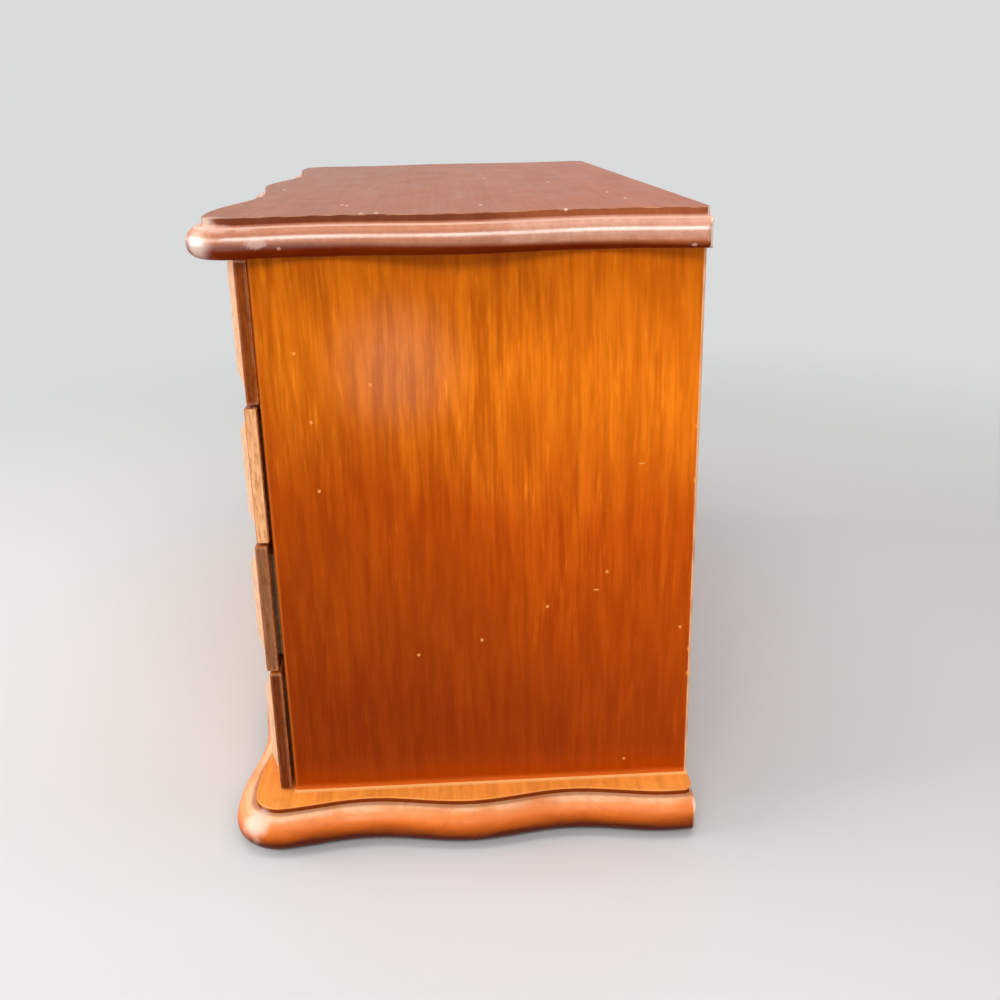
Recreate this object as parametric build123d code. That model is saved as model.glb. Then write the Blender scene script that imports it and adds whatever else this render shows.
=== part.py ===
"""Four-row wooden vanity box with a hinged mirror lid.

Millimetres, +Z up, front towards -Y.  The origin is on the standing surface, under the
middle of the whole box.  Each piece is one STEP file named after its node.
"""
from build123d import *
from math import cos, pi
import os

# --- case -------------------------------------------------------------------------------
case_width = 340.0            # over the outer faces of the two side panels
case_depth = 152.4            # front edge to rear edge of a side panel
row_pitch = 50.8              # height of one row of drawers
top_row_height = 49.6         # height of the row of the tray
drawer_rows = 3               # rows with a drawer; one more row holds the top tray
side_thickness = 9.0
back_thickness = 9.0
shelf_thickness = 5.0         # the two drawer dividers and the floor of the tray
tray_wall_thickness = 9.0     # board behind the fixed top front
groove_depth = 3.0            # housings for the shelves in the side panels
board_fit = 0.1               # room on each side of a board in its housing
arris = 0.8                   # softened edges of the fronts
panel_arris = 1.5             # softened upright edges of the side panels

# --- moulded lid ------------------------------------------------------------------------
lid_thickness = 13.0
lid_riser = 2.8               # upright step between the flat top and the rounded edge
lid_nosing_reach = 5.8        # how far the rounded edge stands out from the riser
lid_front_overhang = 11.2     # riser to the front of the case, mean of the wave
lid_front_wave = 4.0
lid_front_wave_length = 146.0   # crest to crest, with one crest at the middle
lid_side_overhang = 2.6       # riser to the side of the case, mean of the wave
lid_side_wave = 3.0
lid_side_wave_length = 90.0
lid_side_crest = 70.0         # from the front of the case to the middle crest
lid_corner_radius = 10.0      # of the riser at the two front corners
lid_gap = 0.2                 # between the closed lid and the case

# --- moulded base -----------------------------------------------------------------------
base_thickness = 15.8
base_riser = 2.4
base_nosing_reach = 8.0
base_front_overhang = 12.6
base_front_wave = 2.3
base_front_wave_length = 82.5
base_side_overhang = 9.2
base_side_wave = 2.4
base_side_wave_length = 77.0
base_side_crest = 67.0
base_corner_radius = 10.0

nosing_flat = 0.5             # upright flat left at the middle of a rounded edge
rear_corner_radius = 4.0      # of lid and base, at the two rear corners

# --- fronts -----------------------------------------------------------------------------
front_gap = 1.0               # between one front and the next
lip_thickness = 4.5           # of a front at its edge
field_rise = 3.5              # the raised field stands this far out from the lip
lip_width = 4.2
bevel_width = 6.0
top_front_trim = 8.5          # cut off the upper edge of the fixed front, under the lid
reveals = (1.2, 2.0, 1.0)     # how far each closed front stands off, lowest drawer first

# --- drawers ----------------------------------------------------------------------------
drawer_side_gap = 1.0
slide_gap = 0.3               # under a drawer
drawer_head_gap = 5.0         # above a drawer
drawer_back_gap = 3.0
drawer_board = 6.0            # sides and back
drawer_bottom = 3.0
bottom_rise = 3.5             # underside of the bottom above the lower edge of the sides
bottom_housing = 2.5          # depth of the grooves that hold the bottom
lining_thickness = 1.0
lining_gap = 0.2
lining_below_rim = 2.0

# --- knobs ------------------------------------------------------------------------------
knob_foot_radius = 5.0
knob_neck_radius = 2.6
knob_head_radius = 6.5
knob_length = 15.0
knob_foot = 2.0
knob_neck = 4.5               # end of the neck above the front
screw_radius = 1.5
screw_fit = 0.1
screw_head_radius = 3.0
screw_head = 2.0
screw_in_knob = 7.0

# --- top tray ---------------------------------------------------------------------------
partition_thickness = 3.0
partition_headroom = 15.0     # from a partition up to the mirror frame
ring_bay_width = 96.0
middle_bay_width = 104.0
roll_pitch = 14.6             # least distance between two rolls
roll_gap = 0.4
roll_height = 15.0
roll_clearance = 0.4

# --- mirror -----------------------------------------------------------------------------
glass_thickness = 2.6
glass_fit = 0.1
frame_width = 16.0
frame_thickness = 5.0
frame_rebate = 4.0            # overlap of the frame on the glass
frame_gap = 2.5               # frame to the lined walls of the tray
frame_round = 1.5

# --- hinges -----------------------------------------------------------------------------
hinge_spacing = 200.0         # middle of one hinge to middle of the other
knuckle_count = 5
knuckle_length = 5.6
knuckle_gap = 0.3
barrel_radius = 2.2
barrel_clearance = 0.2        # barrel to the rear faces of lid and case
pin_radius = 0.9
pin_fit = 0.1
pin_cap = 0.6                 # domed end beyond the last knuckle
leaf_thickness = 1.0
leaf_width = 8.0              # from the rear face inwards
hinge_screw_radius = 1.0
hinge_screw_head_radius = 1.9
hinge_screw_length = 8.0
hinge_screw_spacing = 18.0
mortise_fit = 0.1

# --- feet -------------------------------------------------------------------------------
pad_radius = 7.0
pad_thickness = 1.0
pad_inset = 12.0              # pad edge inside the case outline

# --- places worked out from the sizes ---------------------------------------------------
lid_front_reach = lid_front_overhang + lid_front_wave + lid_nosing_reach
base_front_reach = base_front_overhang + base_front_wave + base_nosing_reach
front_reach = max(lid_front_reach, base_front_reach)
barrel_y_offset = barrel_clearance + barrel_radius
rear_reach = barrel_y_offset + barrel_radius

front_y = (front_reach - case_depth - rear_reach) / 2
rear_y = front_y + case_depth
half_width = case_width / 2
inner_half = half_width - side_thickness
inner_rear_y = rear_y - back_thickness

base_bottom = pad_thickness
base_top = base_bottom + base_thickness
case_top = base_top + drawer_rows * row_pitch + top_row_height
lid_bottom = case_top + lid_gap

barrel_y = rear_y + barrel_y_offset
barrel_z = case_top + lid_gap / 2
front_thickness = lip_thickness + field_rise


def board(x_range, y_range, z_range):
    """A rectangular board between two corners."""
    sizes = [high - low for low, high in (x_range, y_range, z_range)]
    middle = [(high + low) / 2 for low, high in (x_range, y_range, z_range)]
    return Pos(*middle) * Box(*sizes)


def cylinder_x(radius, x_range, y, z):
    """A cylinder along X."""
    length = x_range[1] - x_range[0]
    middle = (x_range[0] + x_range[1]) / 2
    return Pos(middle, y, z) * Rot(0, 90, 0) * Cylinder(radius, length)


def save(shape, name):
    """Write one node; a list becomes a group of separate solids."""
    solids = shape if isinstance(shape, list) else [shape]
    pieces = [solid for item in solids for solid in item.solids()]
    whole = pieces[0] if len(pieces) == 1 else Compound(children=pieces)
    export_step(whole, os.path.join("parts", name + ".step"))


# ======================================================================== moulded boards
class WavyEdge:
    """The wavy outline of a moulded board and the shape of its edge."""

    def __init__(self, front, side, corner_radius, riser, nosing_reach):
        self.front_overhang, self.front_wave, self.front_length = front
        self.side_overhang, self.side_wave, self.side_length, self.side_crest = side
        self.corner_radius = corner_radius
        self.riser = riser
        self.nosing_reach = nosing_reach

    def front_y(self, x, out):
        """Y of the front edge at x, moved out by a distance."""
        wave = self.front_wave * cos(2 * pi * x / self.front_length)
        return front_y - self.front_overhang - wave - out

    def side_x(self, y, out):
        """Distance of the side edge from the middle plane at y."""
        wave = self.side_wave * cos(2 * pi * (y - front_y - self.side_crest) / self.side_length)
        return half_width + self.side_overhang + wave + out

    def slab(self, out, z_low, height, tail):
        """Slab with the wavy outline, its rear edge a distance behind the case."""
        margin = 3 * (self.nosing_reach + self.corner_radius)
        wide = half_width + self.side_overhang + margin
        near = front_y - self.front_overhang - margin
        far = rear_y + tail
        across = [(x, self.front_y(x, out)) for x in even_steps(-wide, wide, self.front_length)]
        behind = Polyline(across[-1], (wide, far), (-wide, far), across[0])
        front_outline = [Spline(*across), *behind.edges()]
        right = [(self.side_x(y, out), y) for y in even_steps(near, far, self.side_length)]
        left = [(-x, y) for x, y in right]
        side_outline = [Spline(*right), Line(right[-1], left[-1]), Spline(*left), Line(left[0], right[0])]
        slab = extrude(make_face(front_outline), height) & extrude(make_face(side_outline), height)
        return Pos(0, 0, z_low) * fillet(upright_edges(slab)[:2], self.corner_radius + out)

    def board(self, z_low, thickness):
        """Flat board with a riser above a rounded edge at the front and sides, flat behind."""
        nosing_height = thickness - self.riser
        tail = self.nosing_reach + self.corner_radius
        nosing = self.slab(self.nosing_reach, z_low, nosing_height, tail)
        rims = nosing.edges().group_by(Axis.Z)
        nosing = fillet(rims[0] + rims[-1], (nosing_height - nosing_flat) / 2)
        trim = self.slab(self.nosing_reach + nosing_flat, z_low, nosing_height, 0)
        top = self.slab(0, z_low + nosing_height, self.riser, 0)
        return (nosing & round_rear_corners(trim)) + round_rear_corners(top)


def even_steps(start, end, wave_length):
    """Even steps, four or more to each wave."""
    steps = 2 + int(4 * (end - start) / wave_length)
    return [start + (end - start) * step / steps for step in range(steps + 1)]


def upright_edges(slab):
    """The upright edges of a slab, front ones first."""
    height = slab.bounding_box().size.Z
    return slab.edges().filter_by(lambda edge: edge.bounding_box().size.Z > height / 2).sort_by(Axis.Y)


def round_rear_corners(slab):
    """The slab with its two rear corners rounded in plan."""
    return fillet(upright_edges(slab)[-2:], rear_corner_radius)


lid_edge = WavyEdge((lid_front_overhang, lid_front_wave, lid_front_wave_length),
                    (lid_side_overhang, lid_side_wave, lid_side_wave_length, lid_side_crest),
                    lid_corner_radius, lid_riser, lid_nosing_reach)
base_edge = WavyEdge((base_front_overhang, base_front_wave, base_front_wave_length),
                     (base_side_overhang, base_side_wave, base_side_wave_length, base_side_crest),
                     base_corner_radius, base_riser, base_nosing_reach)


def hinge_spots():
    """Middle of each hinge along X."""
    return (-hinge_spacing / 2, hinge_spacing / 2)


hinge_length = knuckle_count * knuckle_length + (knuckle_count - 1) * knuckle_gap
leaf_y = (rear_y - leaf_width, rear_y)
leaf_screw_y = rear_y - leaf_width / 2


def hinge_screw_spots():
    """X of every screw in one row of leaves."""
    return [spot + side * hinge_screw_spacing / 2 for spot in hinge_spots() for side in (-1, 1)]


def mortises(z_range):
    """Pockets for the leaves."""
    half = hinge_length / 2 + mortise_fit
    y_range = (leaf_y[0] - mortise_fit, rear_y + 1)
    return [board((spot - half, spot + half), y_range, z_range) for spot in hinge_spots()]


def hinge_screw_holes(direction):
    """Pilot holes from the leaf faces, up into the lid or down into the case."""
    depth = leaf_thickness + hinge_screw_length + board_fit
    start = lid_bottom if direction > 0 else case_top
    radius = hinge_screw_radius + board_fit
    middle = start + direction * depth / 2
    return [Pos(x, leaf_screw_y, middle) * Cylinder(radius, depth) for x in hinge_screw_spots()]


def make_base():
    """Base board."""
    return base_edge.board(base_bottom, base_thickness)


def make_lid():
    """Lid board with pockets for its hinge leaves."""
    lid = lid_edge.board(lid_bottom, lid_thickness)
    for cut in mortises((lid_bottom - 1, lid_bottom + leaf_thickness)) + hinge_screw_holes(1):
        lid -= cut
    return lid


# ================================================================================== case
def shelf_range(row_line):
    """Height range of the shelf centred on a row line, counted from the base."""
    middle = base_top + row_line * row_pitch
    return (middle - shelf_thickness / 2, middle + shelf_thickness / 2)


def make_side(sign):
    """Side panel with housings for the shelves; sign 1 is the right side."""
    outer, inner = sign * half_width, sign * inner_half
    panel = board(sorted((outer, inner)), (front_y, rear_y), (base_top, case_top))
    outer_edges = panel.edges().filter_by(Axis.Z).sort_by(Axis.X)[-2:] if sign > 0 else \
        panel.edges().filter_by(Axis.Z).sort_by(Axis.X)[:2]
    panel = fillet(outer_edges, panel_arris)
    bed = sorted((inner - sign, inner + sign * (groove_depth + board_fit)))
    for row_line in range(1, drawer_rows + 1):
        low, high = shelf_range(row_line)
        y_range = (front_y + panel_arris, inner_rear_y)
        panel -= board(bed, y_range, (low - board_fit, high + board_fit))
    return panel


def make_shelf(row_line):
    """Board between two rows, its ends in the side panels."""
    half = inner_half + groove_depth
    y_range = (front_y + panel_arris + board_fit, inner_rear_y)
    return board((-half, half), y_range, shelf_range(row_line))


def make_back():
    """Back board with pockets for the case leaves."""
    back = board((-inner_half, inner_half), (inner_rear_y, rear_y), (base_top, case_top))
    for cut in mortises((case_top - leaf_thickness, case_top + 1)) + hinge_screw_holes(-1):
        back -= cut
    return back


tray_floor_top = shelf_range(drawer_rows)[1]
tray_y = (front_y + tray_wall_thickness, inner_rear_y)


def make_tray_wall():
    """Board that closes the front of the tray, drilled for the knob screw."""
    wall = board((-inner_half, inner_half), (front_y, tray_y[0]), (tray_floor_top, case_top))
    z = row_middle(drawer_rows)
    radius = screw_head_radius + screw_fit
    bore = Cylinder(radius, 4 * tray_wall_thickness)
    return wall - Pos(0, tray_y[0], z) * Rot(90, 0, 0) * bore


# ================================================================================ fronts
def row_middle(row):
    """Height of the middle of a row, the lowest being 0."""
    return base_top + (row + 0.5) * row_pitch


def front_board(z_range):
    """Front with a bevelled raised field, its back in the plane of the case front."""
    height = z_range[1] - z_range[0]
    z = (z_range[0] + z_range[1]) / 2
    lip = board((-half_width, half_width), (front_y - lip_thickness, front_y),
                (z - height / 2, z + height / 2))
    lip = fillet(lip.edges(), arris)
    foot = 2 * lip_width
    head = 2 * (lip_width + bevel_width)
    lip_plane = Plane((0, front_y - lip_thickness, z), x_dir=(1, 0, 0), z_dir=(0, -1, 0))
    field = loft([lip_plane * Rectangle(case_width - foot, height - foot),
                  lip_plane.offset(field_rise) * Rectangle(case_width - head, height - head)])
    return lip + field


def knob_hole(z):
    """Hole for a knob screw through a front."""
    return Pos(0, front_y, z) * Rot(90, 0, 0) * Cylinder(screw_radius + screw_fit, 4 * front_thickness)


def make_top_front():
    """Fixed front of the tray, cut down at its upper edge to pass under the lid."""
    z_low = base_top + drawer_rows * row_pitch + front_gap / 2
    z_high = case_top - front_gap / 2
    front = front_board((z_low, z_high + top_front_trim))
    over = 2 * top_front_trim
    waste = board((-case_width, case_width), (front_y - 2 * front_thickness, front_y + 1),
                  (z_high, z_high + over))
    return front - waste - knob_hole(row_middle(drawer_rows))


def counterbore(row):
    """Pocket for the screw head in the back of a drawer front."""
    pocket = Cylinder(screw_head_radius + screw_fit, 2 * screw_head)
    return Pos(0, front_y, row_middle(row)) * Rot(90, 0, 0) * pocket


def make_knob(row):
    """Turned knob: foot, neck and domed head, bored for its screw."""
    depth = screw_in_knob + screw_fit
    neck_end = (knob_neck_radius, knob_neck)
    widest = (knob_head_radius, (knob_neck + knob_length) / 2)
    hole = screw_radius + screw_fit / 2
    with BuildSketch(Plane.XZ) as profile:
        with BuildLine():
            Polyline((hole, 0), (knob_foot_radius, 0), (knob_foot_radius, knob_foot / 2))
            ThreePointArc((knob_foot_radius, knob_foot / 2),
                          ((knob_foot_radius + knob_neck_radius) / 2, knob_foot * 0.9),
                          (knob_neck_radius, knob_foot))
            Line((knob_neck_radius, knob_foot), neck_end)
            Spline(neck_end, widest, (0, knob_length), tangents=[(1, 0), (-1, 0)])
            Polyline((0, knob_length), (0, depth), (hole, depth), (hole, 0))
        make_face()
    knob = revolve(profile.sketch, Axis.Z)
    return Pos(0, front_y - front_thickness, row_middle(row)) * Rot(90, 0, 0) * knob


def make_knob_screw(row, head_y):
    """Pan-head screw from inside the front into the knob; head_y is the head's bearing face."""
    tip_y = front_y - front_thickness - screw_in_knob
    length = head_y - tip_y
    shank = Cylinder(screw_radius, length, align=(Align.CENTER, Align.CENTER, Align.MIN))
    head = Cylinder(screw_head_radius, screw_head, align=(Align.CENTER, Align.CENTER, Align.MAX))
    head = fillet(head.edges().sort_by(Axis.Z)[:1], screw_head / 4)
    return Pos(0, head_y, row_middle(row)) * Rot(90, 0, 0) * (shank + head)


# =============================================================================== drawers
def make_drawer(row):
    """The boards and lining of one drawer, by name, with its front against the case."""
    floor = base_top if row == 0 else shelf_range(row)[1]
    z_low = floor + slide_gap
    z_high = shelf_range(row + 1)[0] - drawer_head_gap
    half = inner_half - drawer_side_gap
    inside = half - drawer_board
    back_y = inner_rear_y - drawer_back_gap
    inside_y = back_y - drawer_board
    bottom_z = (z_low + bottom_rise, z_low + bottom_rise + drawer_bottom)
    groove_z = (bottom_z[0] - board_fit, bottom_z[1] + board_fit)
    bottom_half = inside + bottom_housing
    groove_half = bottom_half + board_fit
    groove = board((-groove_half, groove_half), (front_y - bottom_housing - board_fit, back_y + 1), groove_z)
    row_low = base_top + row * row_pitch
    front = front_board((row_low + front_gap / 2, row_low + row_pitch - front_gap / 2))
    front -= knob_hole(row_middle(row))
    pieces = {"front": front - counterbore(row) - groove}
    for side, sign in (("left", -1), ("right", 1)):
        x_range = sorted((sign * half, sign * inside))
        pieces["side_" + side] = board(x_range, (front_y, back_y), (z_low, z_high)) - groove
    pieces["back"] = board((-inside, inside), (inside_y, back_y), (groove_z[1], z_high))
    pieces["bottom"] = board((-bottom_half, bottom_half), (front_y - bottom_housing, back_y), bottom_z)
    pieces["lining"] = lining((-inside, inside), (front_y, inside_y), (bottom_z[1], z_high))
    return pieces


def lining(x_range, y_range, z_range):
    """Fabric-covered card lining: a floor and four thin walls."""
    def inset(span, amount):
        return (span[0] + amount, span[1] - amount)
    z_outer = (z_range[0], z_range[1] - lining_below_rim)
    outer = board(inset(x_range, lining_gap), inset(y_range, lining_gap), z_outer)
    wall = lining_gap + lining_thickness
    hollow = board(inset(x_range, wall), inset(y_range, wall),
                   (z_outer[0] + lining_thickness, z_outer[1] + 1))
    return outer - hollow


# ================================================================================== tray
lining_inset = lining_gap + lining_thickness
bay_half = inner_half - lining_inset
bay_y = (tray_y[0] + lining_inset, tray_y[1] - lining_inset)
bay_floor = tray_floor_top + lining_thickness
ring_bay_x = (-bay_half, -bay_half + ring_bay_width)
middle_bay_x = (ring_bay_x[1] + partition_thickness, ring_bay_x[1] + partition_thickness + middle_bay_width)
end_bay_x = (middle_bay_x[1] + partition_thickness, bay_half)
partition_z = (bay_floor, lid_bottom - frame_thickness - partition_headroom)
partition_y = (bay_y[0] + board_fit, bay_y[1] - board_fit)


def make_rolls():
    """Padded rolls that grip rings between them, side by side along Y."""
    room = bay_y[1] - bay_y[0] - roll_clearance
    roll_count = int(room / roll_pitch)
    pitch = room / roll_count
    radius = (pitch - roll_gap) / 2
    x_range = (ring_bay_x[0] + roll_clearance, ring_bay_x[1] - roll_clearance)
    z_low = bay_floor + roll_clearance
    z_high = z_low + roll_height
    rolls = []
    for index in range(roll_count):
        y = bay_y[0] + roll_clearance / 2 + (index + 0.5) * pitch
        y_range = (y - radius, y + radius)
        crown = cylinder_x(radius, x_range, y, z_high - radius)
        crown &= board(x_range, y_range, (z_high - radius, z_high))
        rolls.append(board(x_range, y_range, (z_low, z_high - radius)) + crown)
    return rolls


def make_cross_partition():
    """Short partition that halves the end bay."""
    y = (bay_y[0] + bay_y[1]) / 2
    half = partition_thickness / 2
    x_range = (end_bay_x[0] + board_fit, end_bay_x[1] - board_fit)
    return board(x_range, (y - half, y + half), partition_z)


# ================================================================================ mirror
frame_half = bay_half - frame_gap
frame_y = (bay_y[0] + frame_gap, bay_y[1] - frame_gap)
sight_half = frame_half - frame_width
sight_y = (frame_y[0] + frame_width, frame_y[1] - frame_width)


def make_glass():
    """Mirror glass against the underside of the lid."""
    reach = frame_rebate
    return board((-sight_half - reach, sight_half + reach), (sight_y[0] - reach, sight_y[1] + reach),
                 (lid_bottom - glass_thickness, lid_bottom))


def make_frame():
    """Rebated frame under the lid that holds the glass."""
    frame_z = (lid_bottom - frame_thickness, lid_bottom)
    frame = board((-frame_half, frame_half), frame_y, frame_z)
    frame -= board((-sight_half, sight_half), sight_y, (frame_z[0] - 1, frame_z[1] + 1))
    frame = fillet(frame.edges().group_by(Axis.Z)[0], frame_round)
    reach = frame_rebate + glass_fit
    seat = board((-sight_half - reach, sight_half + reach), (sight_y[0] - reach, sight_y[1] + reach),
                 (lid_bottom - glass_thickness - glass_fit, lid_bottom + 1))
    return frame - seat


# ================================================================================ hinges
def make_leaves(direction):
    """Two leaves with their knuckles; direction -1 is the case side, 1 the lid side."""
    start = case_top if direction < 0 else lid_bottom
    z_range = sorted((start, start + direction * leaf_thickness))
    leaves = []
    for spot in hinge_spots():
        first = spot - hinge_length / 2
        leaf = board((first, first + hinge_length), leaf_y, z_range)
        for index in range(0 if direction < 0 else 1, knuckle_count, 2):
            low = first + index * (knuckle_length + knuckle_gap)
            x_range = (low, low + knuckle_length)
            leaf += board(x_range, (rear_y - 1, barrel_y), z_range)
            leaf += cylinder_x(barrel_radius, x_range, barrel_y, barrel_z)
        leaf -= cylinder_x(pin_radius + pin_fit, (first - 1, first + hinge_length + 1), barrel_y, barrel_z)
        leaves.append(leaf - countersinks(direction, start))
    return leaves


def screw_solid(extra):
    """Countersunk screw along Z, head face at 0 and shank upwards, enlarged by extra."""
    head = Cone(hinge_screw_head_radius + extra, hinge_screw_radius + extra, leaf_thickness,
                align=(Align.CENTER, Align.CENTER, Align.MIN))
    shank = Cylinder(hinge_screw_radius + extra, leaf_thickness + hinge_screw_length,
                     align=(Align.CENTER, Align.CENTER, Align.MIN))
    return head + shank


def hinge_screws(direction, start, extra=0.0):
    """All the screws of one row of leaves."""
    turn = Rot(0, 0, 0) if direction > 0 else Rot(180, 0, 0)
    return [Pos(x, leaf_screw_y, start) * turn * screw_solid(extra) for x in hinge_screw_spots()]


def countersinks(direction, start):
    """The holes that the screws pass through."""
    return hinge_screws(direction, start, board_fit)


def make_pins():
    """Hinge pins with a low cap beyond each end of the barrel."""
    half = hinge_length / 2
    pins = []
    for spot in hinge_spots():
        pin = cylinder_x(pin_radius, (spot - half, spot + half), barrel_y, barrel_z)
        for side in (-1, 1):
            cap = sorted((spot + side * half, spot + side * (half + pin_cap)))
            pin += cylinder_x(barrel_radius, cap, barrel_y, barrel_z)
        pins.append(pin)
    return pins


# ================================================================================== feet
def make_pads():
    """Four felt pads under the corners of the base."""
    inset = pad_inset + pad_radius
    spots = [(x, y) for x in (-half_width + inset, half_width - inset)
             for y in (front_y + inset, rear_y - inset)]
    return [Pos(x, y, pad_thickness / 2) * Cylinder(pad_radius, pad_thickness) for x, y in spots]


# ================================================================================= build
def build_nodes():
    """Every node by name."""
    nodes = {
        "base_board": make_base(),
        "felt_pads": make_pads(),
        "side_panel_left": make_side(-1),
        "side_panel_right": make_side(1),
        "back_panel": make_back(),
        "tray_floor": make_shelf(drawer_rows),
        "tray_front_wall": make_tray_wall(),
        "tray_lining": lining((-inner_half, inner_half), tray_y, (tray_floor_top, case_top)),
        "ring_rolls": make_rolls(),
        "fixed_top_front": make_top_front(),
        "top_knob": make_knob(drawer_rows),
        "top_knob_screw": make_knob_screw(drawer_rows, front_y),
        "partition_left": board((ring_bay_x[1], middle_bay_x[0]), partition_y, partition_z),
        "partition_right": board((middle_bay_x[1], end_bay_x[0]), partition_y, partition_z),
        "partition_cross": make_cross_partition(),
        "lid_board": make_lid(),
        "mirror_glass": make_glass(),
        "mirror_frame": make_frame(),
        "hinge_leaves_case": make_leaves(-1),
        "hinge_leaves_lid": make_leaves(1),
        "hinge_pins": make_pins(),
        "hinge_screws_case": hinge_screws(-1, case_top),
        "hinge_screws_lid": hinge_screws(1, lid_bottom),
    }
    for row_line in range(1, drawer_rows):
        nodes["divider_%d" % row_line] = make_shelf(row_line)
    for row, reveal in enumerate(reveals[:drawer_rows]):
        pieces = make_drawer(row)
        pieces["knob"] = make_knob(row)
        pieces["knob_screw"] = make_knob_screw(row, front_y - screw_head)
        for name, shape in pieces.items():
            nodes["drawer_%d_%s" % (row + 1, name)] = Pos(0, -reveal, 0) * shape
    return nodes


os.makedirs("parts", exist_ok=True)
for node_name, node_shape in build_nodes().items():
    save(node_shape, node_name)
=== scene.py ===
"""Finishes, soft linings and stage for a wooden vanity box with drawers and a mirror lid.

Laid out as an add-on and run as a script.  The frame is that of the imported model, in metres:
+Z up, front towards -Y, origin on the standing surface under the middle of the box.  Inside a
finish, sizes and places are in millimetres.
"""
import math

import bmesh
import bpy
from bpy.props import FloatProperty, FloatVectorProperty, IntProperty, PointerProperty
from mathutils import Matrix, Vector, noise


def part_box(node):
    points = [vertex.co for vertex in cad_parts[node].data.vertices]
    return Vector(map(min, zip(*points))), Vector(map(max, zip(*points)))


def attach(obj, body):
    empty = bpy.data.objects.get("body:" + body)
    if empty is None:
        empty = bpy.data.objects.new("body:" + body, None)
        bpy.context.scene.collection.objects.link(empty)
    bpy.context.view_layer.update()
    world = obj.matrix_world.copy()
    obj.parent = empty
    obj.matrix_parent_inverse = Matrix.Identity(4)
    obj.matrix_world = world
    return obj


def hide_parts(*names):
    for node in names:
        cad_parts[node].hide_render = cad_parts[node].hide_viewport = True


bl_info = {
    "name": "Vanity box finishes",
    "version": (1, 0, 0),
    "blender": (4, 5, 0),
    "location": "View3D > Sidebar > Vanity box",
    "description": "Stained wood, brass, mirror and velvet for a vanity box with drawers",
    "category": "Object",
}

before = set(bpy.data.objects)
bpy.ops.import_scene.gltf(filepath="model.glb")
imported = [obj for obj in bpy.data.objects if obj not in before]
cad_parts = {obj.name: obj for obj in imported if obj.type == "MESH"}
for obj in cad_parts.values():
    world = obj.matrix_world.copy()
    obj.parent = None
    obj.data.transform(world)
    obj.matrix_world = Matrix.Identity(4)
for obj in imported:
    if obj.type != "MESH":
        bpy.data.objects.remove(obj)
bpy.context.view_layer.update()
MM = 0.001
LID_RISER = 2.8     # upright step between the lid's flat top and its rounded edge, in millimetres
BASE_RISER = 2.4    # the same step on the base


def places():
    """Heights and edges of the case that the finishes follow."""
    side_low, side_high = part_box("side_panel_right")
    lid_low, lid_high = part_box("lid_board")
    return {
        "side_x": side_high.x, "front_y": side_low.y, "rear_y": side_high.y,
        "base_step": side_low.z - BASE_RISER * MM, "base_top": side_low.z, "case_top": side_high.z,
        "lid_low": lid_low.z, "lid_step": lid_high.z - LID_RISER * MM,
    }


PLACE = places()


# ---------------------------------------------------------------------------- settings
def tone(name, value, description):
    """A colour that a user can change."""
    return FloatVectorProperty(name=name, description=description, subtype="COLOR", size=3,
                               min=0.0, max=1.0, default=value)


def length(name, value, description):
    """A length that a user can change."""
    return FloatProperty(name=name, description=description, default=value, min=0.0,
                         unit="LENGTH", precision=5)


def angle(name, value, description):
    """An angle that a user can change."""
    return FloatProperty(name=name, description=description, default=value, subtype="ANGLE")


def share(name, value, description):
    """A share from nothing to all."""
    return FloatProperty(name=name, description=description, subtype="FACTOR", default=value,
                         min=0.0, max=1.0)


def strength(name, value, description):
    """A brightness or a pressure, without a unit."""
    return FloatProperty(name=name, description=description, default=value, min=0.0)


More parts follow.
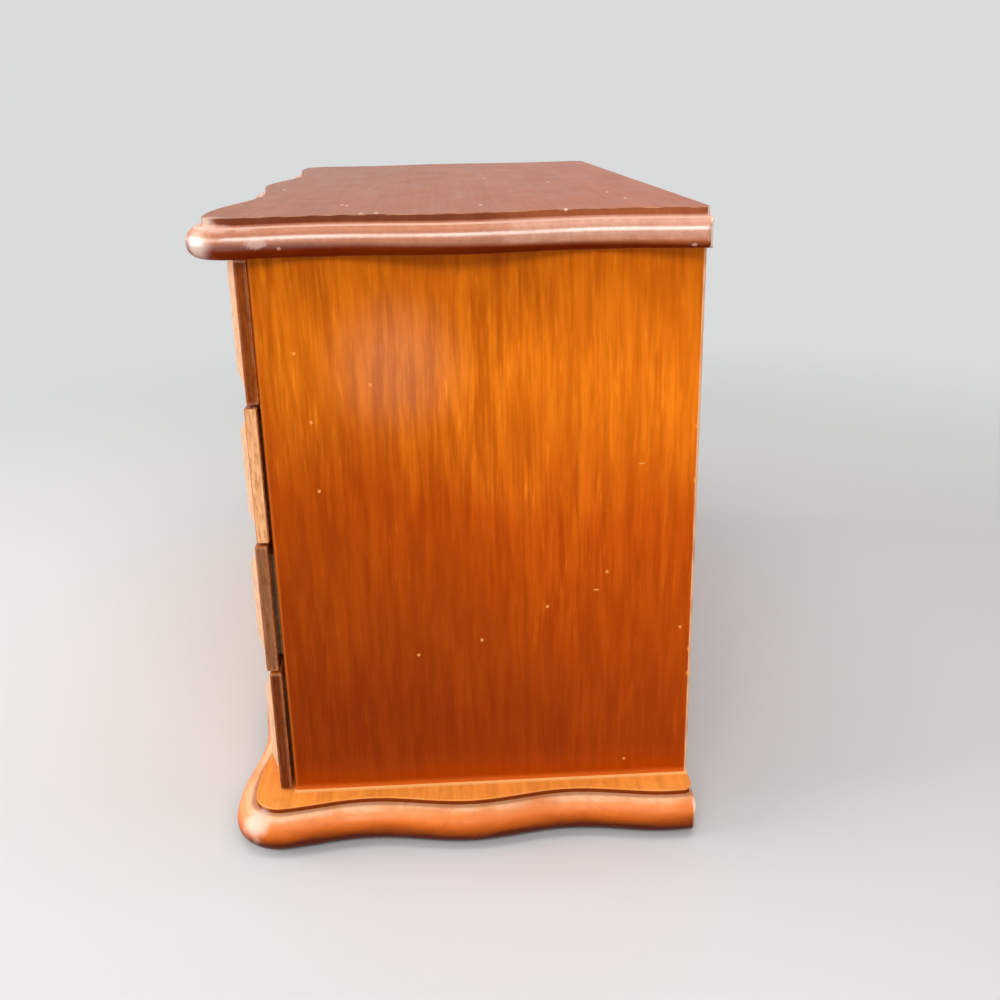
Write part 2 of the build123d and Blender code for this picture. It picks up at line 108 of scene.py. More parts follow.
class VanityWood(bpy.types.PropertyGroup):
    """Colours and grain of the wood."""
    # the panel tones are partly painted shade low down and partly a painted reflection at the brightest
    # band
    panel_top: tone("Panel, top", (0.49, 0.102, 0.002), "Side panel just under the lid")
    panel_high: tone("Panel, high", (0.70, 0.154, 0.004), "Side panel at its brightest")
    panel_mid: tone("Panel, middle", (0.465, 0.067, 0.001), "Side panel half way up")
    panel_low: tone("Panel, low", (0.295, 0.035, 0.0005), "Side panel above the base")
    # painted bounce light from the base on the foot of the panels
    panel_near: tone("Panel, near the base", (0.50, 0.066, 0.001), "Warmth of the base on a panel")
    panel_foot: tone("Panel, foot", (0.72, 0.160, 0.020), "Glow of the base on the foot of a panel")
    panel_edge: tone("Panel, front edge", (0.66, 0.17, 0.02), "Softened front edge of a panel")
    panel_dark: tone("Panel, pores", (0.16, 0.022, 0.001), "Dark pores of the panel grain")
    streak_dark: tone("Streaks, dark", (0.76, 0.66, 0.50), "Share that a dark streak lets through")
    speck: tone("Specks", (0.93, 0.38, 0.10), "Specks and nicks in the varnish of the sides")
    lid_top: tone("Lid, top", (0.385, 0.108, 0.042), "Flat top of the lid")
    # partly painted shade in the upright step
    lid_step: tone("Lid, step", (0.18, 0.046, 0.020), "Step round the top of the lid")
    # painted highlight on the ledge and crown of the lid's rounded edge
    lid_painted_highlight: tone("Lid, worn", (0.80, 0.46, 0.34), "Ledge and crown of the lid's nosing, rubbed pale")
    lid_nose: tone("Lid, nosing", (0.42, 0.125, 0.045), "Rounded edge of the lid")
    # partly painted shade on the lower edge of the lid
    lid_under: tone("Lid, underside", (0.15, 0.016, 0.001), "Lower edge of the lid")
    base_top: tone("Base, top", (1.0, 0.360, 0.060), "Flat top of the base")
    # partly painted shade in the upright step
    base_step: tone("Base, step", (0.24, 0.038, 0.002), "Step round the top of the base")
    base_seam: tone("Base, seam", (1.0, 0.58, 0.20), "Varnish along the foot of the case")
    # painted highlight on the rim of the base beside the step
    base_rim_highlight: tone("Base, worn rim", (0.97, 0.58, 0.33), "Rounded edge of the base beside the step")
    # partly painted highlight near the top of the rounded edge
    base_crown: tone("Base, crown", (0.90, 0.34, 0.12), "Rounded edge of the base, near its top")
    base_nose: tone("Base, nosing", (0.82, 0.205, 0.028), "Rounded edge of the base")
    # partly painted shade on the lower rounded edge
    base_low: tone("Base, lower nosing", (0.55, 0.105, 0.003), "Rounded edge of the base, lower down")
    # painted shade at the foot of the base
    base_under: tone("Base, foot", (0.10, 0.012, 0.001), "Lower edge of the base")
    front_dark: tone("Fronts, dark", (0.20, 0.030, 0.004), "Dark grain of the fronts")
    front_light: tone("Fronts, light", (0.52, 0.125, 0.012), "Light grain of the fronts")
    # pale bevels, partly the wood and partly a painted highlight
    cut: tone("Bevels", (0.72, 0.37, 0.18), "Pale bevels of the fronts")
    rubbed: tone("Rubbed edge", (0.86, 0.46, 0.25), "Stain rubbed off along an edge")
    # scuffed varnish on the lid; on the side panels the same tone is a painted glare patch
    scuffs_and_glare: tone("Scuffed varnish", (0.78, 0.47, 0.38), "Varnish scuffed pale")
    # painted highlight on the front corners of the lid and base
    corner: tone("Rubbed corner", (1.0, 0.80, 0.68), "Front corners, rubbed to the wood")
    bare: tone("Bare wood", (0.92, 0.74, 0.58), "Wood where the stain is chipped off")
    inner_dark: tone("Inside, dark", (0.40, 0.22, 0.10), "Dark grain of the unvarnished boards")
    inner_light: tone("Inside, light", (0.70, 0.47, 0.26), "Light grain of the unvarnished boards")
    streak_width: length("Streak width", 1.8 * MM, "Width of one streak of the veneer")
    streak_length: length("Streak length", 22 * MM, "Length of one streak of the veneer")
    streak_sway: length("Streak sway", 0.5 * MM, "How far a streak wanders sideways")
    edge_wear: length("Edge wear", 0.7 * MM, "How far rubbing reaches in from an edge")


class VanityTrim(bpy.types.PropertyGroup):
    """Colours of the metal, the mirror and the cloth, and sizes of the soft pieces."""
    brass: tone("Brass", (0.66, 0.43, 0.15), "Polished brass of the knobs and hinges")
    tarnish: tone("Tarnish", (0.20, 0.11, 0.035), "Dull brown film on the brass")
    steel: tone("Screws", (0.50, 0.49, 0.47), "Steel of the screws")
    steel_film: tone("Screw film", (0.18, 0.16, 0.14), "Dull film on the screws")
    silver: tone("Mirror", (0.90, 0.92, 0.92), "Silvered glass")
    foxing: tone("Mirror spots", (0.25, 0.22, 0.18), "Spots where the silvering has gone")
    velvet: tone("Velvet", (0.16, 0.008, 0.016), "Pile of the velvet")
    velvet_tip: tone("Velvet sheen", (0.55, 0.12, 0.14), "Light on the tips of the pile")
    felt: tone("Felt", (0.035, 0.032, 0.028), "Felt under the base")
    lining_card: length("Lining thickness", 1.0 * MM, "Card and velvet of a lining together")
    drawer_corner: length("Drawer lining corner", 3.5 * MM, "Upright corner radius of a drawer lining")
    tray_corner: length("Tray lining corner", 0.3 * MM, "Upright corner radius of the tray lining")
    partition_edge: length("Partition edge", 1.1 * MM, "Edge radius of a covered partition")
    roll_voxel: length("Ring roll voxel", 1.8 * MM, "Mesh size of a ring roll before it swells")
    roll_swell: length("Ring roll swell", 0.9 * MM, "Most that a ring roll swells")
    roll_pressure: strength("Ring roll pressure", 4.0, "Pressure that swells a ring roll")
    roll_steps: IntProperty(name="Ring roll steps", description="Cloth steps for a ring roll",
                            default=20, min=1, max=60)


class VanityStage(bpy.types.PropertyGroup):
    """Camera, lights and floor."""
    lens: FloatProperty(name="Lens", description="Focal length on a 36 mm sensor, in millimetres",
                        default=40.19, min=1.0, subtype="DISTANCE_CAMERA")
    reach: length("Camera distance", 373.70 * MM, "From the right side of the case to the camera")
    along: length("Camera setback", 63.67 * MM, "From the front of the case to the camera, rearwards")
    above: length("Camera height", 246.46 * MM, "From the top of the base to the camera")
    turn: angle("Turn", 0.04751, "Turn of the camera away from straight on")
    tilt: angle("Tilt", 0.33684, "Downward tilt of the camera")
    roll: angle("Roll", -0.02154, "Roll of the camera")
    floor: tone("Floor", (0.70, 0.70, 0.69), "Plain floor")
    sky: tone("Surround", (0.70, 0.705, 0.71), "Plain surround")
    sky_light: share("Surround light", 0.50, "Share of the surround's light that reaches matt surfaces")
    strip: strength("Strip lamp", 6.5, "Brightness of the long lamp over the right side")
    overhead: strength("Overhead lamp", 3.8, "Brightness of the broad lamp above")
    window: strength("Window lamp", 7.0, "Brightness of the tall lamp in front")
    fill: strength("Fill light", 0.20, "Even light from the right side")


# ------------------------------------------------------------------------ node materials
class Finish:
    """A node material with a running colour, in millimetres.

    A call adds nodes and gives back their output; lay and tint change the colour instead.
    """

    def __init__(self, name, colour=None):
        self.material = bpy.data.materials.new(name)
        self.material.use_nodes = True
        self.tree = self.material.node_tree
        self.tree.nodes.clear()
        self.spot = self.node("TexCoord", out="Object")
        self.colour = colour

    def node(self, kind, inputs=(), out=0, **settings):
        """One node with its settings, its sockets set or linked."""
        made = self.tree.nodes.new("ShaderNode" + kind)
        for key, value in settings.items():
            setattr(made, key, value)
        for key, value in dict(inputs).items():
            socket = made.inputs[key]
            if isinstance(value, bpy.types.NodeSocket):
                self.tree.links.new(value, socket)
            elif socket.type == "RGBA" and len(value) == 3:
                socket.default_value = (*value, 1.0)
            else:
                socket.default_value = value
        return made.outputs[out] if made.outputs else None

    def calc(self, operation, *values):
        """Arithmetic on one to three values."""
        return self.node("Math", dict(enumerate(values)), operation=operation)

    def vector(self, operation, *values, out="Vector"):
        """Arithmetic on vectors."""
        return self.node("VectorMath", dict(enumerate(values)), out=out, operation=operation)

    def joined(self, operation, values):
        """Several values joined by one kind of arithmetic."""
        total = values[0]
        for value in values[1:]:
            total = self.calc(operation, total, value)
        return total

    def times(self, *values):
        """The product of some values."""
        return self.joined("MULTIPLY", values)

    def plus(self, *values):
        """The sum of some values."""
        return self.joined("ADD", values)

    def highest(self, *masks):
        """The highest of some masks."""
        return self.joined("MAXIMUM", masks)

    def ramp(self, value, low, high, start=0.0, end=1.0):
        """Smooth step of a value between two limits."""
        return self.node("MapRange", {0: value, 1: low, 2: high, 3: start, 4: end},
                         interpolation_type="SMOOTHSTEP")

    def band(self, value, low, high, soft=0.15):
        """1 between two limits, 0 outside."""
        return self.times(self.ramp(value, low - soft, low + soft),
                          self.ramp(value, high + soft, high - soft))

    def mix(self, factor, first, second, blend="MIX"):
        """Colour between two colours."""
        return self.node("Mix", {0: factor, 6: first, 7: second}, out=2, data_type="RGBA",
                         blend_type=blend)

    def stops(self, value, pairs):
        """Colour that runs through several stops."""
        out = self.node("ValToRGB", {0: value})
        ramp = out.node.color_ramp
        while len(ramp.elements) < len(pairs):
            ramp.elements.new(1.0)
        for element, (place, colour) in zip(ramp.elements, pairs):
            element.position, element.color = place, (*colour, 1.0)
        return out

    def lay(self, colour, mask, strength=1.0):
        """Lays another colour over the running one, where a mask is."""
        mask = mask if strength == 1.0 else self.times(mask, strength)
        self.colour = self.mix(mask, self.colour, colour)

    def tint(self, colour, mask=1.0):
        """Multiplies the running colour by another one, where a mask is."""
        self.colour = self.mix(mask, self.colour, colour, "MULTIPLY")

    def axis(self, name, vector=None):
        """One coordinate of a vector, of the place by default."""
        return self.node("SeparateXYZ", {0: vector or self.spot}, out=name)

    def gauge(self, name, start=0.0):
        """Millimetres along an axis, from a start in metres."""
        return self.calc("MULTIPLY_ADD", self.axis(name), 1 / MM, -start / MM)

    def beyond_sides(self):
        """Millimetres outwards from the outer faces of the side panels."""
        return self.calc("SUBTRACT", self.calc("ABSOLUTE", self.gauge("X")), PLACE["side_x"] / MM)

    def distance(self, place, spot=None):
        """Millimetres from a place, of the spot by default."""
        far = self.vector("DISTANCE", spot or self.spot, [k * MM for k in place], out="Value")
        return self.times(far, 1 / MM)

    def facing(self, axis):
        """How far the surface faces along an axis of the piece, with its sign."""
        return self.axis(axis, self.node("TexCoord", out="Normal"))

    def turned(self, axis):
        """How far the surface faces along an axis of the piece, either way."""
        return self.calc("ABSOLUTE", self.facing(axis))

    def square_on(self, grazing=0.80, square=0.62):
        """1 where gloss is seen from square on, 0 where it is seen at a grazing angle."""
        return self.ramp(self.node("LayerWeight", {"Blend": 0.5}, out="Facing"), grazing, square)

    def edges(self, reach, sharpness=0.12):
        """1 along edges of the solid, 0 on its faces; the reach is in metres."""
        eased = self.node("Bevel", {"Radius": reach}, samples=6)
        plain = self.node("NewGeometry", out="Normal")
        along = self.vector("DOT_PRODUCT", eased, plain, out="Value")
        return self.ramp(along, 1.0 - sharpness * 0.15, 1.0 - sharpness)

    def grain(self, size, detail=2.0, shift=0.0, rough=0.5, out=0):
        """Noise with cells of one size, or of a size along X, Y and Z."""
        sizes = (size,) * 3 if isinstance(size, (int, float)) else size
        vector = self.node("Mapping", {"Vector": self.spot, "Scale": [1 / (s * MM) for s in sizes],
                                       "Location": (shift,) * 3})
        return self.node("TexNoise", {"Vector": vector, "Scale": 1.0, "Detail": detail,
                                      "Roughness": rough}, out=out)

    def patches(self, size, low, high, detail=3.0, shift=0.0, start=0.0, end=1.0):
        """Soft patches where noise passes between two limits."""
        return self.ramp(self.grain(size, detail, shift), low, high, start, end)

    def gloss(self, size, low, high):
        """Roughness that drifts between two values."""
        return self.patches(size, 0.3, 0.7, 5.0, start=low, end=high)

    def ragged(self, distances, reach, core, size, detail):
        """1 near to any of some places, with a ragged outline round a core of the reach."""
        uneven = self.plus(self.grain(size, detail), 0.5)
        return self.ramp(self.times(self.joined("MINIMUM", distances), uneven), reach, core * reach)

    def marks(self, spots, reach, spread=(1.0, 1.0, 1.0)):
        """1 inside ragged spots round some places, each with a spread of its own if it names one."""
        distances = []
        for spot in spots:
            place, wide = spot[:3], spot[3:] or spread
            squeezed = self.vector("MULTIPLY", self.spot, [1 / w for w in wide])
            distances.append(self.distance([p / w for p, w in zip(place, wide)], squeezed))
        return self.ragged(distances, reach, 0.4, 0.9, 3.0)

    def corner_highlight(self, place, reach):
        """1 at both front corners, fading over a reach, for a painted highlight."""
        beside = self.node("CombineXYZ", {0: self.calc("ABSOLUTE", self.axis("X")),
                                          1: self.axis("Y"), 2: self.axis("Z")})
        return self.ragged([self.distance(place, beside)], reach, 0.25, 4, 4.0)

    def specks(self, spacing, radius, share_kept, shift=0.0):
        """Small round spots, a share of those at a spacing."""
        vector = self.node("Mapping", {"Vector": self.spot, "Location": (shift,) * 3})
        cells = self.node("TexVoronoi", {"Vector": vector, "Scale": 1 / (spacing * MM)}, out="Distance")
        cell = cells.node.outputs["Color"]
        kept = self.ramp(self.axis("X", cell), share_kept, share_kept - 0.02)
        size = self.calc("MULTIPLY_ADD", self.axis("Y", cell), radius / spacing, 0.4 * radius / spacing)
        return self.times(kept, self.calc("LESS_THAN", cells, size))

    def bump(self, height, depth, strength):
        """Relief of a height map of a full depth."""
        return self.node("Bump", {"Height": height, "Distance": depth * MM, "Strength": strength})

    def shade(self, **sockets):
        """The closing shader; values that are the same all over sit on its sockets."""
        sockets["base_color"] = self.colour
        names = {key.replace("_", " ").title().replace("Ior", "IOR"): value
                 for key, value in sockets.items()}
        self.node("OutputMaterial", {0: self.node("BsdfPrincipled", names)})
        return self.material


def scaled(colour, *factors):
    """A colour made lighter or darker, by one factor or by one for each channel."""
    factors = factors if len(factors) == 3 else factors * 3
    return [min(1.0, factor * part) for factor, part in zip(factors, colour)]


def coat(material, *nodes):
    """Gives CAD nodes one material."""
    for name in nodes:
        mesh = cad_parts[name].data
        mesh.materials.clear()
        mesh.materials.append(material)


def nodes_named(*endings):
    """CAD nodes whose names end in one of some words."""
    return [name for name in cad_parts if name.endswith(endings)]


def veneer(finish, wood):
    """Upright streaks of the veneer, its thin light streaks and its pores."""
    wide, long, sway = wood.streak_width / MM, wood.streak_length / MM, wood.streak_sway
    plain = finish.spot
    drift = finish.vector("SUBTRACT", finish.grain(40, 1.0, out="Color"), (0.5, 0.5, 0.5))
    drift = finish.vector("MULTIPLY", drift, (2 * sway, 2 * sway, 0.0))
    finish.spot = finish.vector("ADD", plain, drift)
    layers = []
    for size, weight in ((2.4, 0.42), (1.0, 0.38), (0.45, 0.20)):
        layer = finish.grain((size * wide, size * wide, (0.4 + 0.6 * size) * long), 2.0, size)
        layers.append(finish.times(layer, weight))
    light = finish.patches((0.9 * wide, 0.9 * wide, 0.6 * long), 0.60, 0.76, 1.0, 5.2)
    pores = finish.patches((0.35 * wide, 0.35 * wide, 0.5 * long), 0.60, 0.72, 2.0, 3.1)
    finish.spot = plain
    return finish.ramp(finish.plus(*layers), 0.37, 0.63), light, pores


def long_grain(finish, width, run, along, shift=0.0):
    """Fine and broad stripes of a board whose grain runs along an axis."""
    size = [width] * 3
    size["XYZ".index(along)] = run
    fine = finish.times(finish.grain(size, 4.0, shift, 0.6), 0.65)
    broad = finish.times(finish.grain([4 * s for s in size], 2.0, shift + 2.7), 0.35)
    return finish.ramp(finish.plus(fine, broad), 0.34, 0.66)


def bare_board(name, wood, width, run, along, shift, roughness, smudged=0.0):
    """Unvarnished wood, a little smudged where it is handled."""
    board = Finish(name)
    stripes = long_grain(board, width, run, along, shift)
    board.colour = board.mix(stripes, wood.inner_dark, wood.inner_light)
    if smudged:
        board.lay(wood.inner_dark, board.patches(25, 0.4, 0.7, end=smudged))
    return board.shade(roughness=roughness, normal=board.bump(stripes, 0.06, 0.4), specular_ior_level=0.3)


def flat_top(finish, height):
    """1 on the flat top of a moulded board; heights count from its step."""
    return finish.times(finish.ramp(finish.facing("Z"), 0.75, 0.9), finish.ramp(height, 1, 2))


def edge_rubbing(finish, wood, height, patchy):
    """Patchy rubbing along the edges of a moulded board, clear of its step."""
    crease = finish.band(height, -1.2, 1.2)
    return finish.times(finish.edges(wood.edge_wear), patchy, finish.calc("SUBTRACT", 1.0, crease))


def sawn_end(finish, rear, start, full):
    """1 on the sides of a moulded board, just before its sawn rear end."""
    return finish.times(finish.ramp(finish.gauge("Y", rear), start, full),
                        finish.ramp(finish.turned("X"), 0.15, 0.5))


# ------------------------------------------------------------------------------ pieces
def in_scene(name, data):
    """An object for a mesh, a light or a camera, linked to the scene."""
    holder = bpy.data.objects.new(name, data)
    bpy.context.scene.collection.objects.link(holder)
    return holder


def new_piece(name, verts, faces, body, material, smooth=True):
    """A mesh object that rides on a body."""
    mesh = bpy.data.meshes.new(name)
    mesh.from_pydata(verts, [], faces)
    mesh.validate()
    shape = bmesh.new()
    shape.from_mesh(mesh)
    bmesh.ops.recalc_face_normals(shape, faces=shape.faces)
    shape.to_mesh(mesh)
    shape.free()
    for face in mesh.polygons:
        face.use_smooth = smooth
    mesh.materials.append(material)
    piece = in_scene(name, mesh)
    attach(piece, body)
    return piece


def rounded(point, middle, half, radius):
    """A point of a rectangle, pulled in where its corners are rounded."""
    x, y = point[0] - middle[0], point[1] - middle[1]
    core_x, core_y = half[0] - radius, half[1] - radius
    over_x, over_y = abs(x) - core_x, abs(y) - core_y
    if radius > 0 and over_x > 0 and over_y > 0:
        pull = max(over_x, over_y) / math.hypot(over_x, over_y)
        x = math.copysign(core_x + over_x * pull, x)
        y = math.copysign(core_y + over_y * pull, y)
    return middle[0] + x, middle[1] + y


def tube_faces(rings, around, closed=False):
    """Faces of a tube, ring after ring, with its two ends closed if asked."""
    faces = [(ring * around + k, ring * around + (k + 1) % around,
              (ring + 1) * around + (k + 1) % around, (ring + 1) * around + k)
             for ring in range(rings - 1) for k in range(around)]
    if closed:
        faces += [tuple(range(around)), tuple((rings - 1) * around + k for k in range(around))]
    return faces


class VANITY_OT_lid(bpy.types.Operator):
    """Gives the lid its dark gloss stain, with painted highlights and painted shade on the moulded edge
    and rubbing along its edges
    """
    bl_idname = "vanity.lid"
    bl_label = "Lid"

    STRIPES = ((0.92, 0.88, 0.85), (1.07, 1.10, 1.12))
    # the cool first tint is a painted reflection haze at the front of the top
    WARMTH = ((0.96, 1.04, 1.12), (1.12, 1.02, 0.90))
    HAZE = (1.3, 1.45, 1.6)
    CHIPS = ((38, -70, 232), (134, -36, 232), (129, -38, 232), (166, -29, 232), (167, -24, 232),
             (145, 11, 232), (-15, 19, 232), (27, 46, 232), (98, 62, 232), (130, 64, 232),
             (170, 38, 232))
    SCUFFS = ((176, -38, 229, 3, 0.5, 1.5), (178, -40.5, 225, 3, 0.4, 3.5),
              (178, -43, 221, 3, 0.4, 1.5), (178, -55, 222.5, 3, 1.0, 1.0),
              (178, 79, 220.5, 3, 1.2, 0.8), (178, -62, 224.5, 3, 4.5, 2.4),
              (176, -66, 229, 4, 5, 1.2), (175, -74, 229, 7, 6, 1.6))
    # painted highlights on the lid's front corners
    CORNER_HIGHLIGHTS = (((174.5, -80.5, 224), 7), ((169, -78, 229.5), 6))

    def stain_edge(self, lid, wood, height, cloud):
        """The rounded edge and the step above it: painted shade low on the edge and in the step, and
        painted highlight bands on its crown and shoulder, brighter towards the rear.
        """
        back = lid.gauge("Y")
        sunk = lid.plus(height, lid.times(back, 0.022))
        rise = lid.ramp(sunk, (PLACE["lid_low"] - PLACE["lid_step"]) / MM, 0)
        # partly painted shade: the lower part of the rounded edge runs to the dark lower-edge tone
        lid.colour = lid.stops(rise, ((0.0, wood.lid_under), (0.18, wood.lid_under),
                                      (0.44, wood.lid_nose), (1.0, wood.lid_nose)))
        # painted highlight: pale bands on the crown and shoulder of the rounded edge, brighter towards the
        # rear
        rearward = lid.ramp(lid.plus(back, lid.times(cloud, 14)), 8, 40)
        crown = lid.times(lid.band(height, -4.0, -2.9, 0.5), lid.ramp(rearward, 0.0, 1.0, 0.62, 0.95))
        shoulder = lid.plus(lid.ramp(height, -2.1, -1.0, 0.05, 0.30), lid.times(rearward, 0.27))
        lid.lay(wood.lid_painted_highlight, lid.times(lid.highest(shoulder, crown), lid.ramp(height, -7.8, -6.2)))
        # painted shade in the upright step, lightened towards the rear as a painted highlight
        riser = lid.mix(lid.times(rearward, 0.6), wood.lid_step, wood.lid_nose)
        lid.lay(riser, lid.ramp(height, 0.1, 0.9))

    def stain_top(self, lid, wood, flat, low, high):
        """The flat top, warmer towards the rear and cooler and greyer at the front as a painted reflection
        haze, and the underside.
        """
        warmth = lid.mix(lid.ramp(lid.axis("Y"), low.y, high.y), *self.WARMTH)
        lid.lay(lid.mix(1.0, wood.lid_top, warmth, "MULTIPLY"), flat)
        lid.lay(wood.lid_top, lid.ramp(lid.facing("Z"), -0.9, -0.97), 0.6)

    def wear(self, lid, wood, height, high):
        """Painted highlight on the ledge and front corners, rubbed edges, scuffs and chips."""
        # painted highlight: the flat ledge on top of the rounded edge is laid pale
        ledge = lid.times(lid.band(height, -0.45, 0.1, 0.12), lid.ramp(lid.facing("Z"), 0.6, 0.9))
        lid.lay(wood.lid_painted_highlight, ledge, 0.9)
        patchy = lid.patches((9, 9, 2), 0.42, 0.60, 4.0)
        lid.lay(wood.rubbed, edge_rubbing(lid, wood, height, patchy), 0.7)
        lid.lay(wood.bare, sawn_end(lid, high.y, -1.6, -0.9), 0.75)
        lid.lay(wood.scuffs_and_glare, lid.marks(self.SCUFFS, 1.0), 0.6)
        # painted highlight on the front corners
        for place, reach in self.CORNER_HIGHLIGHTS:
            lid.lay(wood.corner, lid.corner_highlight(place, reach), 0.45)
        chips = lid.marks(self.CHIPS, 0.8, (2.5, 1.0, 1.0))
        lid.lay(wood.bare, lid.highest(chips, lid.specks(21, 0.6, 0.3)))

    def execute(self, context):
        wood = context.scene.vanity_wood
        lid = Finish("lid_stain")
        low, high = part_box("lid_board")
        height, up = lid.gauge("Z", PLACE["lid_step"]), lid.facing("Z")
        flat = flat_top(lid, height)
        stripes = long_grain(lid, 1.8, 70, "X")
        cloud = lid.patches((22, 14, 8), 0.35, 0.65, 4.0)
        self.stain_edge(lid, wood, height, cloud)
        self.stain_top(lid, wood, flat, low, high)
        lid.tint(lid.mix(stripes, *self.STRIPES))
        lid.tint(self.HAZE, lid.times(cloud, 0.22))
        self.wear(lid, wood, height, high)
        nosing = lid.times(lid.ramp(up, -0.35, -0.05), lid.ramp(up, 0.75, 0.55),
                           lid.ramp(height, 0.1, -0.2))
        glaze = lid.highest(nosing, lid.times(flat, 0.6, lid.square_on()))
        coat(lid.shade(roughness=lid.gloss(12, 0.20, 0.25), normal=lid.bump(stripes, 0.02, 0.1),
                       specular_ior_level=0.006, coat_weight=glaze, coat_roughness=0.27,
                       coat_ior=1.8), "lid_board")
        return {"FINISHED"}


class VANITY_OT_base(bpy.types.Operator):
    """Gives the base its orange stain, pale on the ledge as a painted highlight and dark at the foot as
    painted shade
    """
    bl_idname = "vanity.base"
    bl_label = "Base"

    STRIPES = ((0.86, 0.80, 0.75), (1.08, 1.10, 1.1))
    MOTTLE_TINT = (0.82, 0.68, 0.6)
    CHIPS = ((181, -35, 16.4, 3, 1.2, 0.5), (183, -36, 2.8, 4, 1.3, 0.6), (183, -31, 2.6, 4, 1.6, 0.6),
             (182, -34, 16.6, 3, 0.7, 0.7))
    # painted highlight on the base's front corners
    CORNER_HIGHLIGHT = ((184, -80, 12), 7.5)

    def stain_edge(self, base, wood, height, low):
        """The rounded edge, with painted shade towards its foot and a painted highlight near its top, and
        the step above it in painted shade.
        """
        uneven = base.calc("SUBTRACT", base.grain((18, 18, 5), 3.0, 6.0), 0.5)
        rise = base.plus(height, base.times(uneven, 4))
        level = base.node("MapRange", {0: rise, 1: (low.z - PLACE["base_step"]) / MM, 2: 0.0})
        # painted shade low on the rounded edge, painted highlight on its crown and rim
        base.colour = base.stops(level, (
            (0.0, wood.base_under), (0.34, wood.base_under), (0.60, wood.base_low),
            (0.80, wood.base_nose), (0.93, wood.base_crown), (1.0, wood.base_rim_highlight)))
        # partly painted shade in the upright step
        base.lay(wood.base_step, base.band(height, 0, BASE_RISER - 0.7))

    def stain_top(self, base, wood, height, flat, stripes):
        """The flat top, and the grain, clouds and flecks of the whole board."""
        base.lay(wood.base_top, base.ramp(height, BASE_RISER - 0.9, BASE_RISER - 0.5))
        base.lay(wood.base_top, flat)
        base.tint(base.mix(stripes, *self.STRIPES), base.ramp(flat, 0.0, 1.0, 0.25, 1.0))
        cloud = base.patches((16, 12, 12), 0.35, 0.65, shift=2.0)
        fleck = base.patches((4, 4, 2), 0.48, 0.68, 4.0, 8.0)
        base.tint(self.MOTTLE_TINT, base.highest(base.times(cloud, 0.3), base.times(fleck, 0.45)))

    def wear(self, base, wood, height, flat, high):
        """The seam under the case, rubbed edges, a painted highlight on the front corners, and chips."""
        seam = base.times(flat, base.band(base.beyond_sides(), -1, 1.9, 0.9),
                          base.ramp(base.gauge("Y", PLACE["front_y"]), -1, 1))
        base.lay(wood.base_seam, seam, 0.9)
        # painted highlight on the front corners
        base.lay(wood.corner, base.corner_highlight(*self.CORNER_HIGHLIGHT), 0.55)
        patchy = base.patches((7, 7, 2), 0.46, 0.62, 4.0)
        base.lay(wood.rubbed, edge_rubbing(base, wood, height, patchy), 0.45)
        base.lay(wood.bare, sawn_end(base, high.y, -1.4, -0.8), 0.6)
        chips = base.highest(base.marks(self.CHIPS, 0.8), base.specks(23, 0.6, 0.3, 0.4))
        base.lay(wood.bare, chips, 0.8)

    def execute(self, context):
        wood = context.scene.vanity_wood
        base = Finish("base_stain")
        low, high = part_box("base_board")
        height = base.gauge("Z", PLACE["base_step"])
        flat = flat_top(base, height)
        stripes = long_grain(base, 3, 40, "X", 4.0)
        self.stain_edge(base, wood, height, low)
        self.stain_top(base, wood, height, flat, stripes)
        self.wear(base, wood, height, flat, high)
        glaze = base.times(base.ramp(base.facing("Z"), -0.1, 0.3), base.ramp(flat, 1.0, 0.0, 0.12, 0.30))
        coat(base.shade(roughness=base.gloss(10, 0.32, 0.42), normal=base.bump(stripes, 0.03, 0.2),
                        specular_ior_level=0.08, coat_weight=glaze, coat_roughness=0.42), "base_board")
        return {"FINISHED"}


